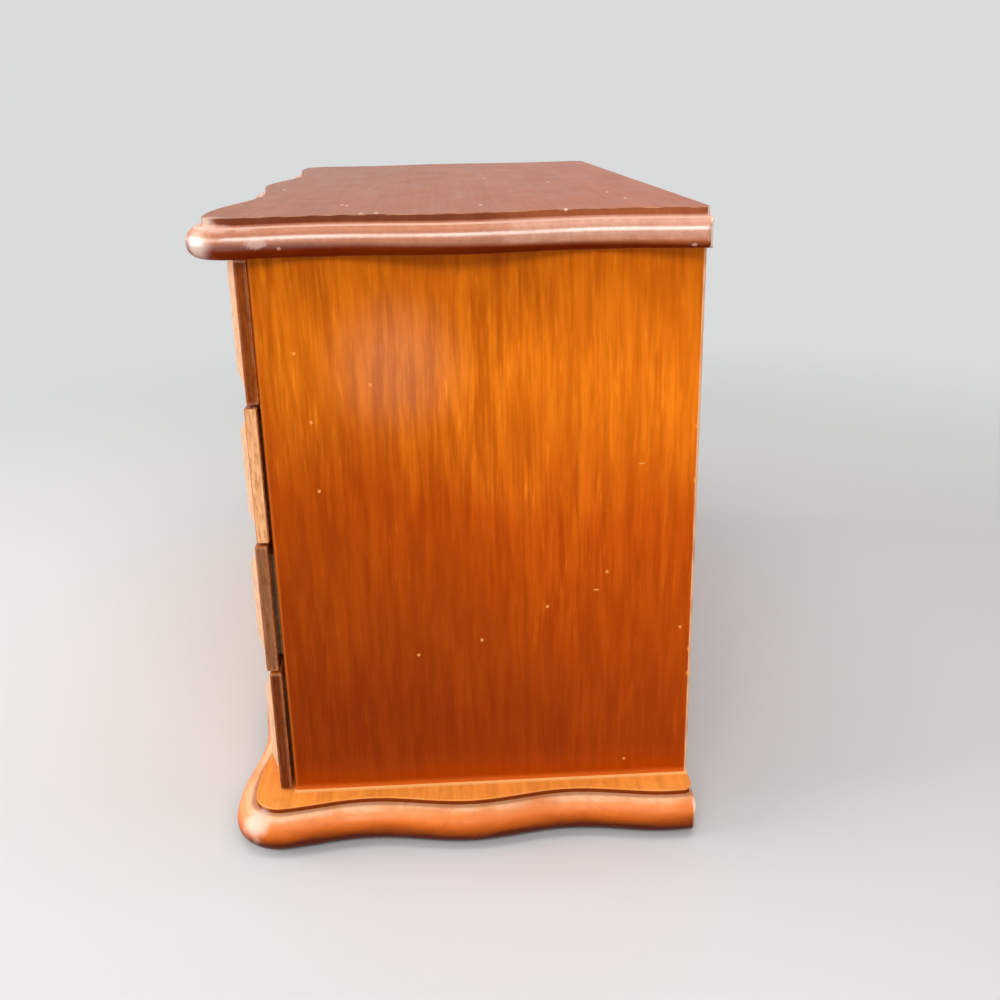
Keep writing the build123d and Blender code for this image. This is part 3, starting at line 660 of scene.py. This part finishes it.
class VANITY_OT_case(bpy.types.Operator):
    """Gives the case its veneered sides, its back and its plain inner boards"""
    bl_idname = "vanity.case"
    bl_label = "Case"

    LIGHT_STREAK = (1.17, 1.30, 1.7)
    THIN_STREAK = (1.17, 1.34, 1.8)
    REAR_PALING = ((0.90, 0.89, 0.85), (1.18, 1.18, 1.15))
    # place of the painted glare patch on the side panel
    HAZE = (170, -20, 182)
    SPECKS = ((170, -54, 187), (170, -50, 163), (170, -49, 138), (170, -29, 175.5), (170, -17, 72.5),
              (170, 6.6, 77.5), (170, 31, 90), (170, 53, 103), (170, 80.6, 79.5), (170, 60.5, 24))
    SCRATCHES = ((170, 49, 96, 3, 1.6, 0.5), (170, 65, 144, 3, 1.8, 0.5),
                 (170, 84.4, 157, 3, 1.4, 1.6), (170, 84.4, 137, 3, 1.2, 1.8),
                 (170, 84.4, 70, 3, 1.2, 2.0), (170, 84.4, 60, 3, 1.4, 1.6))

    def stain(self, side, wood, height, cloud, streaks, light, pores):
        """Red-brown below, orange above, with streaks, and paler towards the rear; the darkening towards
        the foot is partly painted shade and the brightest band high up is partly a painted reflection.
        """
        back = side.gauge("Y")
        uneven = side.times(side.calc("SUBTRACT", cloud, 0.5), 50)
        rise = side.plus(height, uneven, side.times(back, 0.17))
        tall = (PLACE["case_top"] - PLACE["base_top"]) / MM
        level = side.node("MapRange", {0: rise, 1: 0.0, 2: tall})
        # partly painted shade towards the foot, partly a painted reflection in the brightest band
        side.colour = side.stops(level, (
            (0.0, wood.panel_low), (0.16, wood.panel_low), (0.56, wood.panel_mid),
            (0.78, wood.panel_high), (0.84, wood.panel_high), (1.0, wood.panel_top)))
        marked = side.times(side.ramp(level, 0.0, 0.9, 0.55, 1.0), side.ramp(cloud, 0.35, 0.65, 0.55, 1.0))
        side.tint(side.mix(streaks, wood.streak_dark, self.LIGHT_STREAK), marked)
        side.tint(self.THIN_STREAK, side.times(light, marked))
        side.lay(wood.panel_dark, pores, 0.12)
        # the panels grow paler towards the rear
        rear_share = side.ramp(side.axis("Y"), PLACE["front_y"], PLACE["rear_y"])
        side.tint(side.mix(rear_share, *self.REAR_PALING))

    def paint_base_bounce_and_glare(self, side, wood, height):
        """Painted bounce light of the base on the foot of a panel, and a painted glare patch higher up."""
        # painted bounce light from the orange base
        side.lay(wood.panel_near, side.ramp(height, 16, 0), 0.45)
        side.lay(wood.panel_foot, side.ramp(height, 3, 0), 0.8)
        # painted glare: a soft pale patch on the side panel
        side.lay(wood.scuffs_and_glare, side.ramp(side.distance(self.HAZE), 30, 4, 0.0, 0.10))

    def wear(self, side, wood, cloud):
        """Front, rear and upper edges, scratches and specks."""
        side.lay(wood.panel_edge, side.ramp(side.gauge("Y", PLACE["front_y"]), 1.5, 0.9), 0.35)
        broken = side.patches((2, 2, 9), 0.30, 0.55, start=0.5)
        side.lay(wood.rubbed, side.times(side.ramp(side.gauge("Y", PLACE["rear_y"]), -1.4, -0.9), broken,
                                         side.ramp(side.beyond_sides(), -1.5, -1.0)))
        cap = side.mix(side.ramp(cloud, 0.3, 0.7), wood.front_dark, wood.front_light)
        side.lay(cap, side.ramp(side.facing("Z"), 0.8, 0.95), 0.85)
        side.lay(wood.speck, side.marks(self.SCRATCHES, 0.9), 0.7)
        side.lay(wood.speck, side.highest(side.marks(self.SPECKS, 0.8), side.specks(31, 0.5, 0.3)), 0.75)

    def execute(self, context):
        wood = context.scene.vanity_wood
        side = Finish("panel_veneer")
        streaks, light, pores = veneer(side, wood)
        height = side.gauge("Z", PLACE["base_top"])
        cloud = side.grain((26, 26, 50), 3.0)
        self.stain(side, wood, height, cloud, streaks, light, pores)
        self.paint_base_bounce_and_glare(side, wood, height)
        self.wear(side, wood, cloud)
        coat(side.shade(roughness=side.gloss(20, 0.20, 0.30), specular_ior_level=0.04,
                        normal=side.bump(side.highest(pores, streaks), 0.02, 0.2)),
             "side_panel_left", "side_panel_right", "back_panel")
        coat(bare_board("inner_board", wood, 1.5, 50, "X", 9.0, roughness=0.62),
             "divider_1", "divider_2", "tray_floor", "tray_front_wall")
        return {"FINISHED"}


class VANITY_OT_fronts(bpy.types.Operator):
    """Gives the four fronts their stain, each with its own worn end"""
    bl_idname = "vanity.fronts"
    bl_label = "Fronts"

    ENDS = {"fixed_top_front": (0.24, 0.048, 0.005), "drawer_3_front": (0.84, 0.42, 0.19),
            "drawer_2_front": (0.27, 0.102, 0.042), "drawer_1_front": (0.16, 0.031, 0.004)}

    def cut_bevels(self, front, wood, order, rear):
        """Pale bevels round the raised field, mottled; the paleness is partly the wood and partly a
        painted highlight.
        """
        mottle = front.patches((2.5, 1.2, 4), 0.40, 0.66, 4.0, order + 0.5, end=0.8)
        tilted = front.ramp(front.turned("Y"), 0.985, 0.95)
        raised = front.ramp(front.gauge("Y", rear), -4.2, -4.6)
        front.lay(front.mix(mottle, wood.cut, scaled(wood.cut, 0.72)), front.times(tilted, raised))

    def cut_ends(self, front, order, end_tone):
        """End grain, with darker and lighter streaks."""
        streaks = front.grain((3, 0.9, 5), 5.0, order, 0.65)
        ends = front.mix(front.ramp(streaks, 0.44, 0.66), end_tone, scaled(end_tone, 0.72, 0.58, 0.48))
        ends = front.mix(front.ramp(streaks, 0.42, 0.34), ends, scaled(end_tone, 1.25))
        front.lay(ends, front.ramp(front.turned("X"), 0.80, 0.95))

    def execute(self, context):
        wood = context.scene.vanity_wood
        for order, (name, end_tone) in enumerate(self.ENDS.items()):
            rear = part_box(name)[1].y
            front = Finish(name + "_stain")
            stripes = long_grain(front, 1.4, 45, "X", 5.0 * order)
            front.colour = front.mix(stripes, wood.front_dark, wood.front_light)
            self.cut_bevels(front, wood, order, rear)
            self.cut_ends(front, order, end_tone)
            patchy = front.patches((4, 2, 6), 0.30, 0.48, shift=order)
            front.lay(wood.rubbed, front.times(front.edges(2.4 * wood.edge_wear), patchy), 0.8)
            glaze = front.times(front.ramp(front.turned("Y"), 0.7, 0.9), 0.5)
            coat(front.shade(roughness=0.26, normal=front.bump(stripes, 0.04, 0.25),
                             specular_ior_level=0.08, coat_weight=glaze, coat_roughness=0.18), name)
        return {"FINISHED"}


class VANITY_OT_drawer_boxes(bpy.types.Operator):
    """Gives the drawer sides, backs and bottoms plain pale wood"""
    bl_idname = "vanity.drawer_boxes"
    bl_label = "Drawer boxes"

    def execute(self, context):
        wood = context.scene.vanity_wood
        for along, endings in (("Y", ("_side_left", "_side_right")), ("X", ("_back", "_bottom"))):
            coat(bare_board("drawer_board_" + along.lower(), wood, 1.3, 40, along, 12.0,
                            roughness=0.6, smudged=0.35), *nodes_named(*endings))
        return {"FINISHED"}


class VANITY_OT_mirror(bpy.types.Operator):
    """Silvers the mirror glass and stains its frame"""
    bl_idname = "vanity.mirror"
    bl_label = "Mirror"

    def execute(self, context):
        wood, trim = context.scene.vanity_wood, context.scene.vanity_trim
        glass = Finish("silvered_glass", trim.silver)
        glass.lay(trim.foxing, glass.patches(2, 0.70, 0.78, 4.0), 0.5)
        haze = glass.patches(30, 0.45, 0.75, 5.0, start=0.015, end=0.05)
        coat(glass.shade(metallic=1.0, roughness=haze), "mirror_glass")

        rim = Finish("mirror_frame_stain")
        stripes = long_grain(rim, 1.4, 45, "X", 3.0)
        rim.colour = rim.mix(stripes, wood.lid_step, wood.lid_top)
        rim.lay(wood.rubbed, rim.times(rim.edges(wood.edge_wear), rim.grain(6, 3.0)))
        coat(rim.shade(roughness=0.22, normal=rim.bump(stripes, 0.05, 0.25), coat_weight=0.5,
                       coat_roughness=0.08), "mirror_frame")
        return {"FINISHED"}


class VANITY_OT_metal(bpy.types.Operator):
    """Gives the knobs and hinges tarnished brass and the screws plain steel"""
    bl_idname = "vanity.metal"
    bl_label = "Brass and steel"

    BRASS = (("knob_brass", ("knob",), 0.45),
             ("hinge_brass", ("hinge_leaves_case", "hinge_leaves_lid", "hinge_pins"), 0.6))

    def execute(self, context):
        trim = context.scene.vanity_trim
        for name, endings, film in self.BRASS:
            brass = Finish(name, trim.brass)
            cloud = brass.grain(3, 5.0)
            brass.lay(trim.tarnish, brass.ramp(cloud, 0.40, 0.68, 0.0, film))
            coat(brass.shade(metallic=1.0, roughness=brass.ramp(cloud, 0.3, 0.7, 0.20, 0.42),
                             normal=brass.bump(brass.grain(0.15), 0.01, 0.3)), *nodes_named(*endings))
        steel = Finish("screw_steel", trim.steel)
        steel.lay(trim.steel_film, steel.patches(1, 0.4, 0.7, end=0.5))
        coat(steel.shade(metallic=1.0, roughness=0.35, normal=steel.bump(steel.grain(0.2), 0.01, 0.3)),
             *nodes_named("screw", "hinge_screws_case", "hinge_screws_lid"))
        return {"FINISHED"}


def velvet_cloth(trim):
    """Short pile with crushed lighter patches, made once."""
    made = bpy.data.materials.get("velvet_pile")
    if made:
        return made
    pile = Finish("velvet_pile")
    crushed = pile.patches(13, 0.32, 0.70, 4.0)
    pile.colour = pile.mix(crushed, scaled(trim.velvet, 0.8), scaled(trim.velvet, 1.5))
    tufts = pile.grain(0.4, 3.0)
    pile.tint((0.55, 0.5, 0.5), pile.ramp(tufts, 0.35, 0.65, 0.0, 0.4))
    return pile.shade(roughness=0.9, specular_ior_level=0.1, sheen_weight=0.55, sheen_roughness=0.35,
                      sheen_tint=trim.velvet_tip, normal=pile.bump(tufts, 0.12, 0.6))


def lining_rings(low, high, card, step):
    """Inset and height of each ring of a lining: up the outside, over the rim, down the inside."""
    rim_low = high.z - card / 2
    floor_z, fillet = low.z + card, 1.2 * card
    rings = [(0.0, low.z), (0.0, (low.z + rim_low) / 2), (0.0, rim_low)]
    rings += [(card / 2 * (1 - math.cos(math.pi * k / 4)), rim_low + card / 2 * math.sin(math.pi * k / 4))
              for k in (1, 2, 3)]
    wall_steps = max(2, round((rim_low - low.z) / step))
    rings += [(card, rim_low + (floor_z + fillet - rim_low) * k / wall_steps)
              for k in range(wall_steps + 1)]
    rings += [(card + fillet * (1 - math.cos(math.pi * k / 8)),
               floor_z + fillet * (1 - math.sin(math.pi * k / 8))) for k in (1, 2, 3, 4)]
    return rings


def lining_mesh(low, high, card, corner, step=5 * MM):
    """An open box of card and velvet: grid floor, rounded corners and a rounded rim."""
    across = max(2, round((high.x - low.x) / step))
    back = max(2, round((high.y - low.y) / step))
    middle = ((low.x + high.x) / 2, (low.y + high.y) / 2)
    floor_z = low.z + card
    rings = lining_rings(low, high, card, step)

    def spot(inset, at_x, at_y):
        half = ((high.x - low.x) / 2 - inset, (high.y - low.y) / 2 - inset)
        x = middle[0] + half[0] * (2 * at_x / across - 1)
        y = middle[1] + half[1] * (2 * at_y / back - 1)
        return rounded((x, y), middle, half, max(corner + card - inset, 0.0))

    around = ([(k, 0) for k in range(across)] + [(across, k) for k in range(back)] +
              [(across - k, back) for k in range(across)] + [(0, back - k) for k in range(back)])
    verts = []
    for inset, z in rings:
        for at_x, at_y in around:
            x, y = spot(inset, at_x, at_y)
            if inset >= card and z > floor_z:
                puff = 0.12 * MM * noise.noise(Vector((x, y, z)) / (9 * MM))
                x += math.copysign(puff, x - middle[0]) if at_x in (0, across) else 0.0
                y += math.copysign(puff, y - middle[1]) if at_y in (0, back) else 0.0
            verts.append((x, y, z))
    count = len(around)
    faces = tube_faces(len(rings), count)
    for inset, z, first in ((0.0, low.z, 0), (rings[-1][0], floor_z, (len(rings) - 1) * count)):
        index = {place: first + k for k, place in enumerate(around)}
        for at_x in range(1, across):
            for at_y in range(1, back):
                x, y = spot(inset, at_x, at_y)
                dent = 0.0
                if z == floor_z:
                    dent = 0.1 * MM * noise.noise(Vector((x, y, 0.0)) / (12 * MM)) - 0.05 * MM
                index[(at_x, at_y)] = len(verts)
                verts.append((x, y, z + dent))
        faces += [(index[(at_x, at_y)], index[(at_x + 1, at_y)],
                   index[(at_x + 1, at_y + 1)], index[(at_x, at_y + 1)])
                  for at_x in range(across) for at_y in range(back)]
    return verts, faces


class VANITY_OT_linings(bpy.types.Operator):
    """Builds the velvet linings of the drawers and the tray"""
    bl_idname = "vanity.linings"
    bl_label = "Velvet linings"

    def execute(self, context):
        trim = context.scene.vanity_trim
        for name in nodes_named("_lining"):
            low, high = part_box(name)
            corner = trim.tray_corner if name.startswith("tray") else trim.drawer_corner
            verts, faces = lining_mesh(low, high, trim.lining_card, corner)
            body = "case" if name.startswith("tray") else name[:len("drawer_0")]
            piece = new_piece(name + "_velvet", verts, faces, body, velvet_cloth(trim))
            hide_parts(name)
        return {"FINISHED"}


def covered_board(name, low, high, radius, material):
    """A board wrapped in velvet: rounded edges and a little unevenness."""
    shape = bmesh.new()
    bmesh.ops.create_cube(shape, size=1.0)
    size, middle = high - low, (high + low) / 2
    bmesh.ops.transform(shape, matrix=Matrix.Translation(middle) @ Matrix.Diagonal((*size, 1.0)),
                        verts=shape.verts)
    longest = max(range(3), key=lambda k: size[k])
    runs = [edge for edge in shape.edges
            if abs((edge.verts[0].co - edge.verts[1].co)[longest]) > 0.9 * size[longest]]
    bmesh.ops.subdivide_edges(shape, edges=runs, cuts=round(size[longest] / (6 * MM)), use_grid_fill=True)
    sharp = [edge for edge in shape.edges if edge.is_manifold and edge.calc_face_angle() > 1.0]
    bmesh.ops.bevel(shape, geom=sharp, offset=radius, segments=3, affect="EDGES", profile=0.5)
    for vert in shape.verts:
        sway = 0.12 * MM * (noise.noise(vert.co / (8 * MM)) - 0.5)
        toward = middle - vert.co
        toward[longest] = 0.0
        if toward.length > 0:
            vert.co -= toward.normalized() * min(sway, 0.0)
    verts = [tuple(vert.co) for vert in shape.verts]
    shape.verts.index_update()
    faces = [tuple(vert.index for vert in face.verts) for face in shape.faces]
    shape.free()
    return new_piece(name, verts, faces, "case", material)


class VANITY_OT_partitions(bpy.types.Operator):
    """Wraps the tray partitions in velvet"""
    bl_idname = "vanity.partitions"
    bl_label = "Tray partitions"

    def execute(self, context):
        trim = context.scene.vanity_trim
        for name in ("partition_left", "partition_right", "partition_cross"):
            low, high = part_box(name)
            piece = covered_board(name + "_velvet", low, high, trim.partition_edge, velvet_cloth(trim))
            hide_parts(name)
        return {"FINISHED"}


def roll_blank(size, shrink, around=16, stations=25):
    """A plump bar with a round crown, a little smaller than a ring roll."""
    round_crown, square_foot = 0.8, 0.45
    blunt_end, end_size = 14, 0.35
    half_x, half_y, tall = size[0] / 2 - shrink, size[1] / 2 - shrink, size[2] - 2 * shrink
    profile = []
    for k in range(around):
        turn = 2 * math.pi * k / around
        across, up = math.cos(turn), math.sin(turn)
        power = round_crown if up > 0 else square_foot
        profile.append((half_y * math.copysign(abs(across) ** power, across),
                        tall / 2 * math.copysign(abs(up) ** power, up)))
    verts = []
    for station in range(stations):
        at = 2 * station / (stations - 1) - 1
        ease = max((1 - abs(at) ** blunt_end) ** 0.5, end_size)
        verts += [(half_x * at, y * ease, z * ease) for y, z in profile]
    return verts, tube_faces(stations, around, closed=True)


def swell(piece, steps, pressure, cap):
    """Lets a piece swell under pressure as cloth, no point moving further than the cap."""
    scene = bpy.context.scene
    cloth = piece.modifiers.new("swell", "CLOTH")
    cloth.settings.use_pressure = True
    cloth.settings.uniform_pressure_force = pressure
    cloth.settings.effector_weights.gravity = 0.0
    cloth.settings.quality = 6
    cloth.point_cache.frame_start, cloth.point_cache.frame_end = 1, steps
    for step in range(1, steps + 1):
        scene.frame_set(step)
    swollen = piece.evaluated_get(bpy.context.evaluated_depsgraph_get()).to_mesh()
    moved = [vert.co.copy() for vert in swollen.vertices]
    piece.to_mesh_clear()
    piece.modifiers.remove(cloth)
    scene.frame_set(1)
    for vert, goal in zip(piece.data.vertices, moved):
        move = goal - vert.co
        vert.co += move * min(1.0, cap / max(move.length, 1e-9))


def swollen_roll(trim, size, velvet):
    """Points and faces of one ring roll round its middle: remeshed, swollen, fitted to its size."""
    verts, faces = roll_blank(size, trim.roll_swell)
    blank = new_piece("ring_roll_blank", verts, faces, "case", velvet)
    blank.parent = None
    remesh = blank.modifiers.new("even", "REMESH")
    remesh.mode, remesh.voxel_size = "VOXEL", trim.roll_voxel
    even = bpy.data.meshes.new_from_object(blank.evaluated_get(bpy.context.evaluated_depsgraph_get()))
    blank.modifiers.remove(remesh)
    blank.data = even
    swell(blank, trim.roll_steps, trim.roll_pressure, trim.roll_swell)
    points = [vert.co.copy() for vert in blank.data.vertices]
    polygons = [tuple(face.vertices) for face in blank.data.polygons]
    bpy.data.objects.remove(blank)
    reach = [max(abs(point[k]) for point in points) for k in range(3)]
    fit = [min(1.0, size[k] / 2 / reach[k]) for k in range(3)]
    return [Vector([point[k] * fit[k] for k in range(3)]) for point in points], polygons


def tucked(point, size, order):
    """A point of a roll, drawn in by the folds at its ends and by some unevenness."""
    folds, fold_depth, drift_depth = 11, 0.25 * MM, 0.12 * MM
    end = max(0.0, abs(point.x) / (size.x / 2) - 0.90) * 10
    turn = math.atan2(point.z, point.y)
    fold = fold_depth * end * (1 + math.sin(folds * turn + 1.7 * order))
    drift = drift_depth * (1 + noise.noise(point / (6 * MM) + Vector((0, 0, 3.1 * order))))
    return point - Vector((0, point.y, point.z)).normalized() * (fold + drift)


class VANITY_OT_ring_rolls(bpy.types.Operator):
    """Swells one velvet ring roll as cloth and lays a row of them in the tray"""
    bl_idname = "vanity.ring_rolls"
    bl_label = "Ring rolls"

    def execute(self, context):
        trim = context.scene.vanity_trim
        velvet = velvet_cloth(trim)
        islands = loose_boxes(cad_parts["ring_rolls"].data)
        size = islands[0][1] - islands[0][0]
        points, polygons = swollen_roll(trim, size, velvet)
        for order, (low, high) in enumerate(islands):
            middle = (low + high) / 2
            shaped = [tuple(middle + tucked(point, size, order)) for point in points]
            piece = new_piece("ring_roll_%d" % (order + 1), shaped, polygons, "case", velvet)
            smooth = piece.modifiers.new("smooth", "SUBSURF")
            smooth.levels = smooth.render_levels = 1
            if order == 0:
                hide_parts("ring_rolls")
        return {"FINISHED"}


def loose_boxes(mesh):
    """Box of each separate part of a mesh, front to back."""
    shape = bmesh.new()
    shape.from_mesh(mesh)
    bmesh.ops.remove_doubles(shape, verts=shape.verts, dist=0.001 * MM)
    unseen = set(shape.verts)
    boxes = []
    while unseen:
        island, edge = set(), [unseen.pop()]
        while edge:
            vert = edge.pop()
            island.add(vert)
            for link in vert.link_edges:
                other = link.other_vert(vert)
                if other in unseen:
                    unseen.discard(other)
                    edge.append(other)
        boxes.append([Vector([pick(vert.co[k] for vert in island) for k in range(3)])
                      for pick in (min, max)])
    shape.free()
    return sorted(boxes, key=lambda pair: (round(pair[0].y, 5), pair[0].x))


def pad_mesh(low, high, turns=48):
    """A felt disc with soft edges and a fuzzy outline."""
    middle, radius, tall = (low + high) / 2, (high.x - low.x) / 2, high.z - low.z
    profile = ((0.5, 0.0), (0.96, 0.0), (0.995, 0.12), (1.0, 0.5), (0.99, 0.88), (0.95, 1.0), (0.5, 1.0))
    verts = []
    for out, up in profile:
        for k in range(turns):
            along = Vector((math.cos(2 * math.pi * k / turns), math.sin(2 * math.pi * k / turns), up))
            fuzz = 1 - 0.015 * abs(noise.noise(along * 6))
            verts.append((middle.x + radius * out * fuzz * along.x,
                          middle.y + radius * out * fuzz * along.y, low.z + up * tall))
    return verts, tube_faces(len(profile), turns, closed=True)


class VANITY_OT_felt_pads(bpy.types.Operator):
    """Builds the four felt pads under the base"""
    bl_idname = "vanity.felt_pads"
    bl_label = "Felt pads"

    def execute(self, context):
        trim = context.scene.vanity_trim
        felt = Finish("felt_fibre")
        fibre = felt.grain(0.5, 4.0)
        felt.colour = felt.mix(felt.ramp(fibre, 0.35, 0.7), trim.felt, scaled(trim.felt, 2.2))
        cloth = felt.shade(roughness=0.95, specular_ior_level=0.1, sheen_weight=0.4,
                           sheen_roughness=0.5, normal=felt.bump(fibre, 0.15, 0.7))
        for order, (low, high) in enumerate(loose_boxes(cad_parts["felt_pads"].data)):
            verts, faces = pad_mesh(low, high)
            piece = new_piece("felt_pad_%d" % (order + 1), verts, faces, "case", cloth)
            if order == 0:
                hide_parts("felt_pads")
        return {"FINISHED"}


# ------------------------------------------------------------------------------- stage
def soft_light(name, toward, brightness, spread):
    """An even light over the whole floor, from one direction and softened by its spread."""
    light = bpy.data.lights.new(name, "SUN")
    light.energy, light.angle = brightness, spread
    in_scene(name, light).rotation_euler = Vector(toward).to_track_quat("Z", "Y").to_euler()


def area_lamp(name, place, width, height, brightness):
    """A soft rectangular lamp that faces the box."""
    lamp = bpy.data.lights.new(name, "AREA")
    lamp.shape, lamp.size, lamp.size_y = "RECTANGLE", width, height
    lamp.energy = brightness * math.pi * width * height
    holder = in_scene(name, lamp)
    middle = Vector((0.0, 0.0, (PLACE["base_top"] + PLACE["case_top"]) / 2))
    holder.location = place
    holder.rotation_euler = (middle - Vector(place)).to_track_quat("-Z", "Y").to_euler()


def seen_rays(tree):
    """1 for rays from the camera, off gloss and through glass."""
    path = tree.nodes.new("ShaderNodeLightPath")
    seen = path.outputs["Is Camera Ray"]
    for name in ("Is Glossy Ray", "Is Transmission Ray"):
        either = tree.nodes.new("ShaderNodeMath")
        either.operation = "MAXIMUM"
        tree.links.new(seen, either.inputs[0])
        tree.links.new(path.outputs[name], either.inputs[1])
        seen = either.outputs[0]
    return seen


def swung(first, second, turn):
    """Two square directions, turned from the first towards the second."""
    return (first * math.cos(turn) + second * math.sin(turn),
            second * math.cos(turn) - first * math.sin(turn))


class VANITY_OT_stage(bpy.types.Operator):
    """Sets the floor, the surround, the lamps and the camera"""
    bl_idname = "vanity.stage"
    bl_label = "Stage"

    LAMPS = (("strip", (1.50, 0.0, 1.15), 1.6, 0.50), ("overhead", (0.15, 0.0, 1.25), 1.2, 0.35),
             ("window", (0.0, -1.45, 0.40), 1.1, 0.85))
    FILL_FROM, FILL_SPREAD = (0.90, 0.10, 0.45), math.radians(40)
    FLOOR_REACH = 20
    FLOOR_FADE = (320, 850)

    def lay_floor(self, stage):
        """A plain floor that runs out into the surround."""
        plain = Finish("plain_floor")
        plain.colour = plain.mix(plain.patches(300, 0.3, 0.7), stage.floor, scaled(stage.floor, 0.985))
        material = plain.shade(roughness=0.6, specular_ior_level=0.2)
        matt = plain.tree.nodes["Principled BSDF"].outputs[0]
        away = plain.ramp(plain.distance((0, 0, 0)), *self.FLOOR_FADE)
        glow = plain.node("Emission", {"Color": stage.sky, "Strength": 1.0})
        mixed = plain.node("MixShader", {0: plain.times(away, seen_rays(plain.tree)), 1: matt, 2: glow})
        plain.tree.links.new(mixed, plain.tree.nodes["Material Output"].inputs[0])
        mesh = bpy.data.meshes.new("floor")
        far = self.FLOOR_REACH
        mesh.from_pydata([(-far, -far, 0), (far, -far, 0), (far, far, 0), (-far, far, 0)], [],
                         [(0, 1, 2, 3)])
        mesh.materials.append(material)
        floor = in_scene("floor", mesh)

    def set_surround(self, stage):
        """A plain surround, softer on matt surfaces than where it is seen."""
        world = bpy.data.worlds.new("surround")
        world.use_nodes = True
        tree = world.node_tree
        background = tree.nodes["Background"]
        background.inputs["Color"].default_value = (*stage.sky, 1.0)
        light = tree.nodes.new("ShaderNodeMapRange")
        light.inputs["To Min"].default_value = stage.sky_light
        tree.links.new(seen_rays(tree), light.inputs["Value"])
        tree.links.new(light.outputs[0], background.inputs["Strength"])
        bpy.context.scene.world = world

    def set_camera(self, stage):
        """The camera, turned, tilted and rolled from a level view of the right side."""
        lens = bpy.data.cameras.new("camera")
        lens.sensor_width, lens.lens = 36.0, stage.lens
        lens.clip_start = 0.01
        ahead, right, up = Vector((-1, 0, 0)), Vector((0, 1, 0)), Vector((0, 0, 1))
        ahead, right = swung(ahead, right, stage.turn)
        ahead, up = swung(ahead, up, -stage.tilt)
        right, up = swung(right, up, stage.roll)
        spot = Vector((PLACE["side_x"] + stage.reach, PLACE["front_y"] + stage.along,
                       PLACE["base_top"] + stage.above))
        holder = in_scene("camera", lens)
        holder.matrix_world = Matrix.Translation(spot) @ Matrix((right, up, -ahead)).transposed().to_4x4()
        bpy.context.scene.camera = holder

    def execute(self, context):
        stage = context.scene.vanity_stage
        context.scene.view_settings.view_transform = "Standard"
        self.lay_floor(stage)
        self.set_surround(stage)
        for name, place, width, height in self.LAMPS:
            area_lamp(name + "_lamp", place, width, height, getattr(stage, name))
        soft_light("fill_light", self.FILL_FROM, stage.fill, self.FILL_SPREAD)
        self.set_camera(stage)
        return {"FINISHED"}


class VANITY_PT_panel(bpy.types.Panel):
    """Lists the pieces and the stage"""
    bl_idname = "VANITY_PT_panel"
    bl_label = "Vanity box"
    bl_space_type = "VIEW_3D"
    bl_region_type = "UI"
    bl_category = "Vanity box"

    def draw(self, context):
        for operator in PIECES:
            self.layout.operator(operator.bl_idname)
        scene = context.scene
        for group in (scene.vanity_wood, scene.vanity_trim, scene.vanity_stage):
            box = self.layout.box()
            for name in group.__annotations__:
                box.prop(group, name)


GROUPS = (VanityWood, VanityTrim, VanityStage)
PIECES = (VANITY_OT_lid, VANITY_OT_base, VANITY_OT_case, VANITY_OT_fronts, VANITY_OT_drawer_boxes,
          VANITY_OT_mirror, VANITY_OT_metal, VANITY_OT_linings, VANITY_OT_partitions,
          VANITY_OT_ring_rolls, VANITY_OT_felt_pads, VANITY_OT_stage)


def register():
    for kind in (*GROUPS, *PIECES, VANITY_PT_panel):
        bpy.utils.register_class(kind)
    bpy.types.Scene.vanity_wood = PointerProperty(type=VanityWood)
    bpy.types.Scene.vanity_trim = PointerProperty(type=VanityTrim)
    bpy.types.Scene.vanity_stage = PointerProperty(type=VanityStage)


def unregister():
    del bpy.types.Scene.vanity_stage
    del bpy.types.Scene.vanity_trim
    del bpy.types.Scene.vanity_wood
    for kind in reversed((*GROUPS, *PIECES, VANITY_PT_panel)):
        bpy.utils.unregister_class(kind)


def main():
    """Runs every operator."""
    register()
    for operator in PIECES:
        group, name = operator.bl_idname.split(".")
        getattr(getattr(bpy.ops, group), name)()


if __name__ == "__main__":
    main()
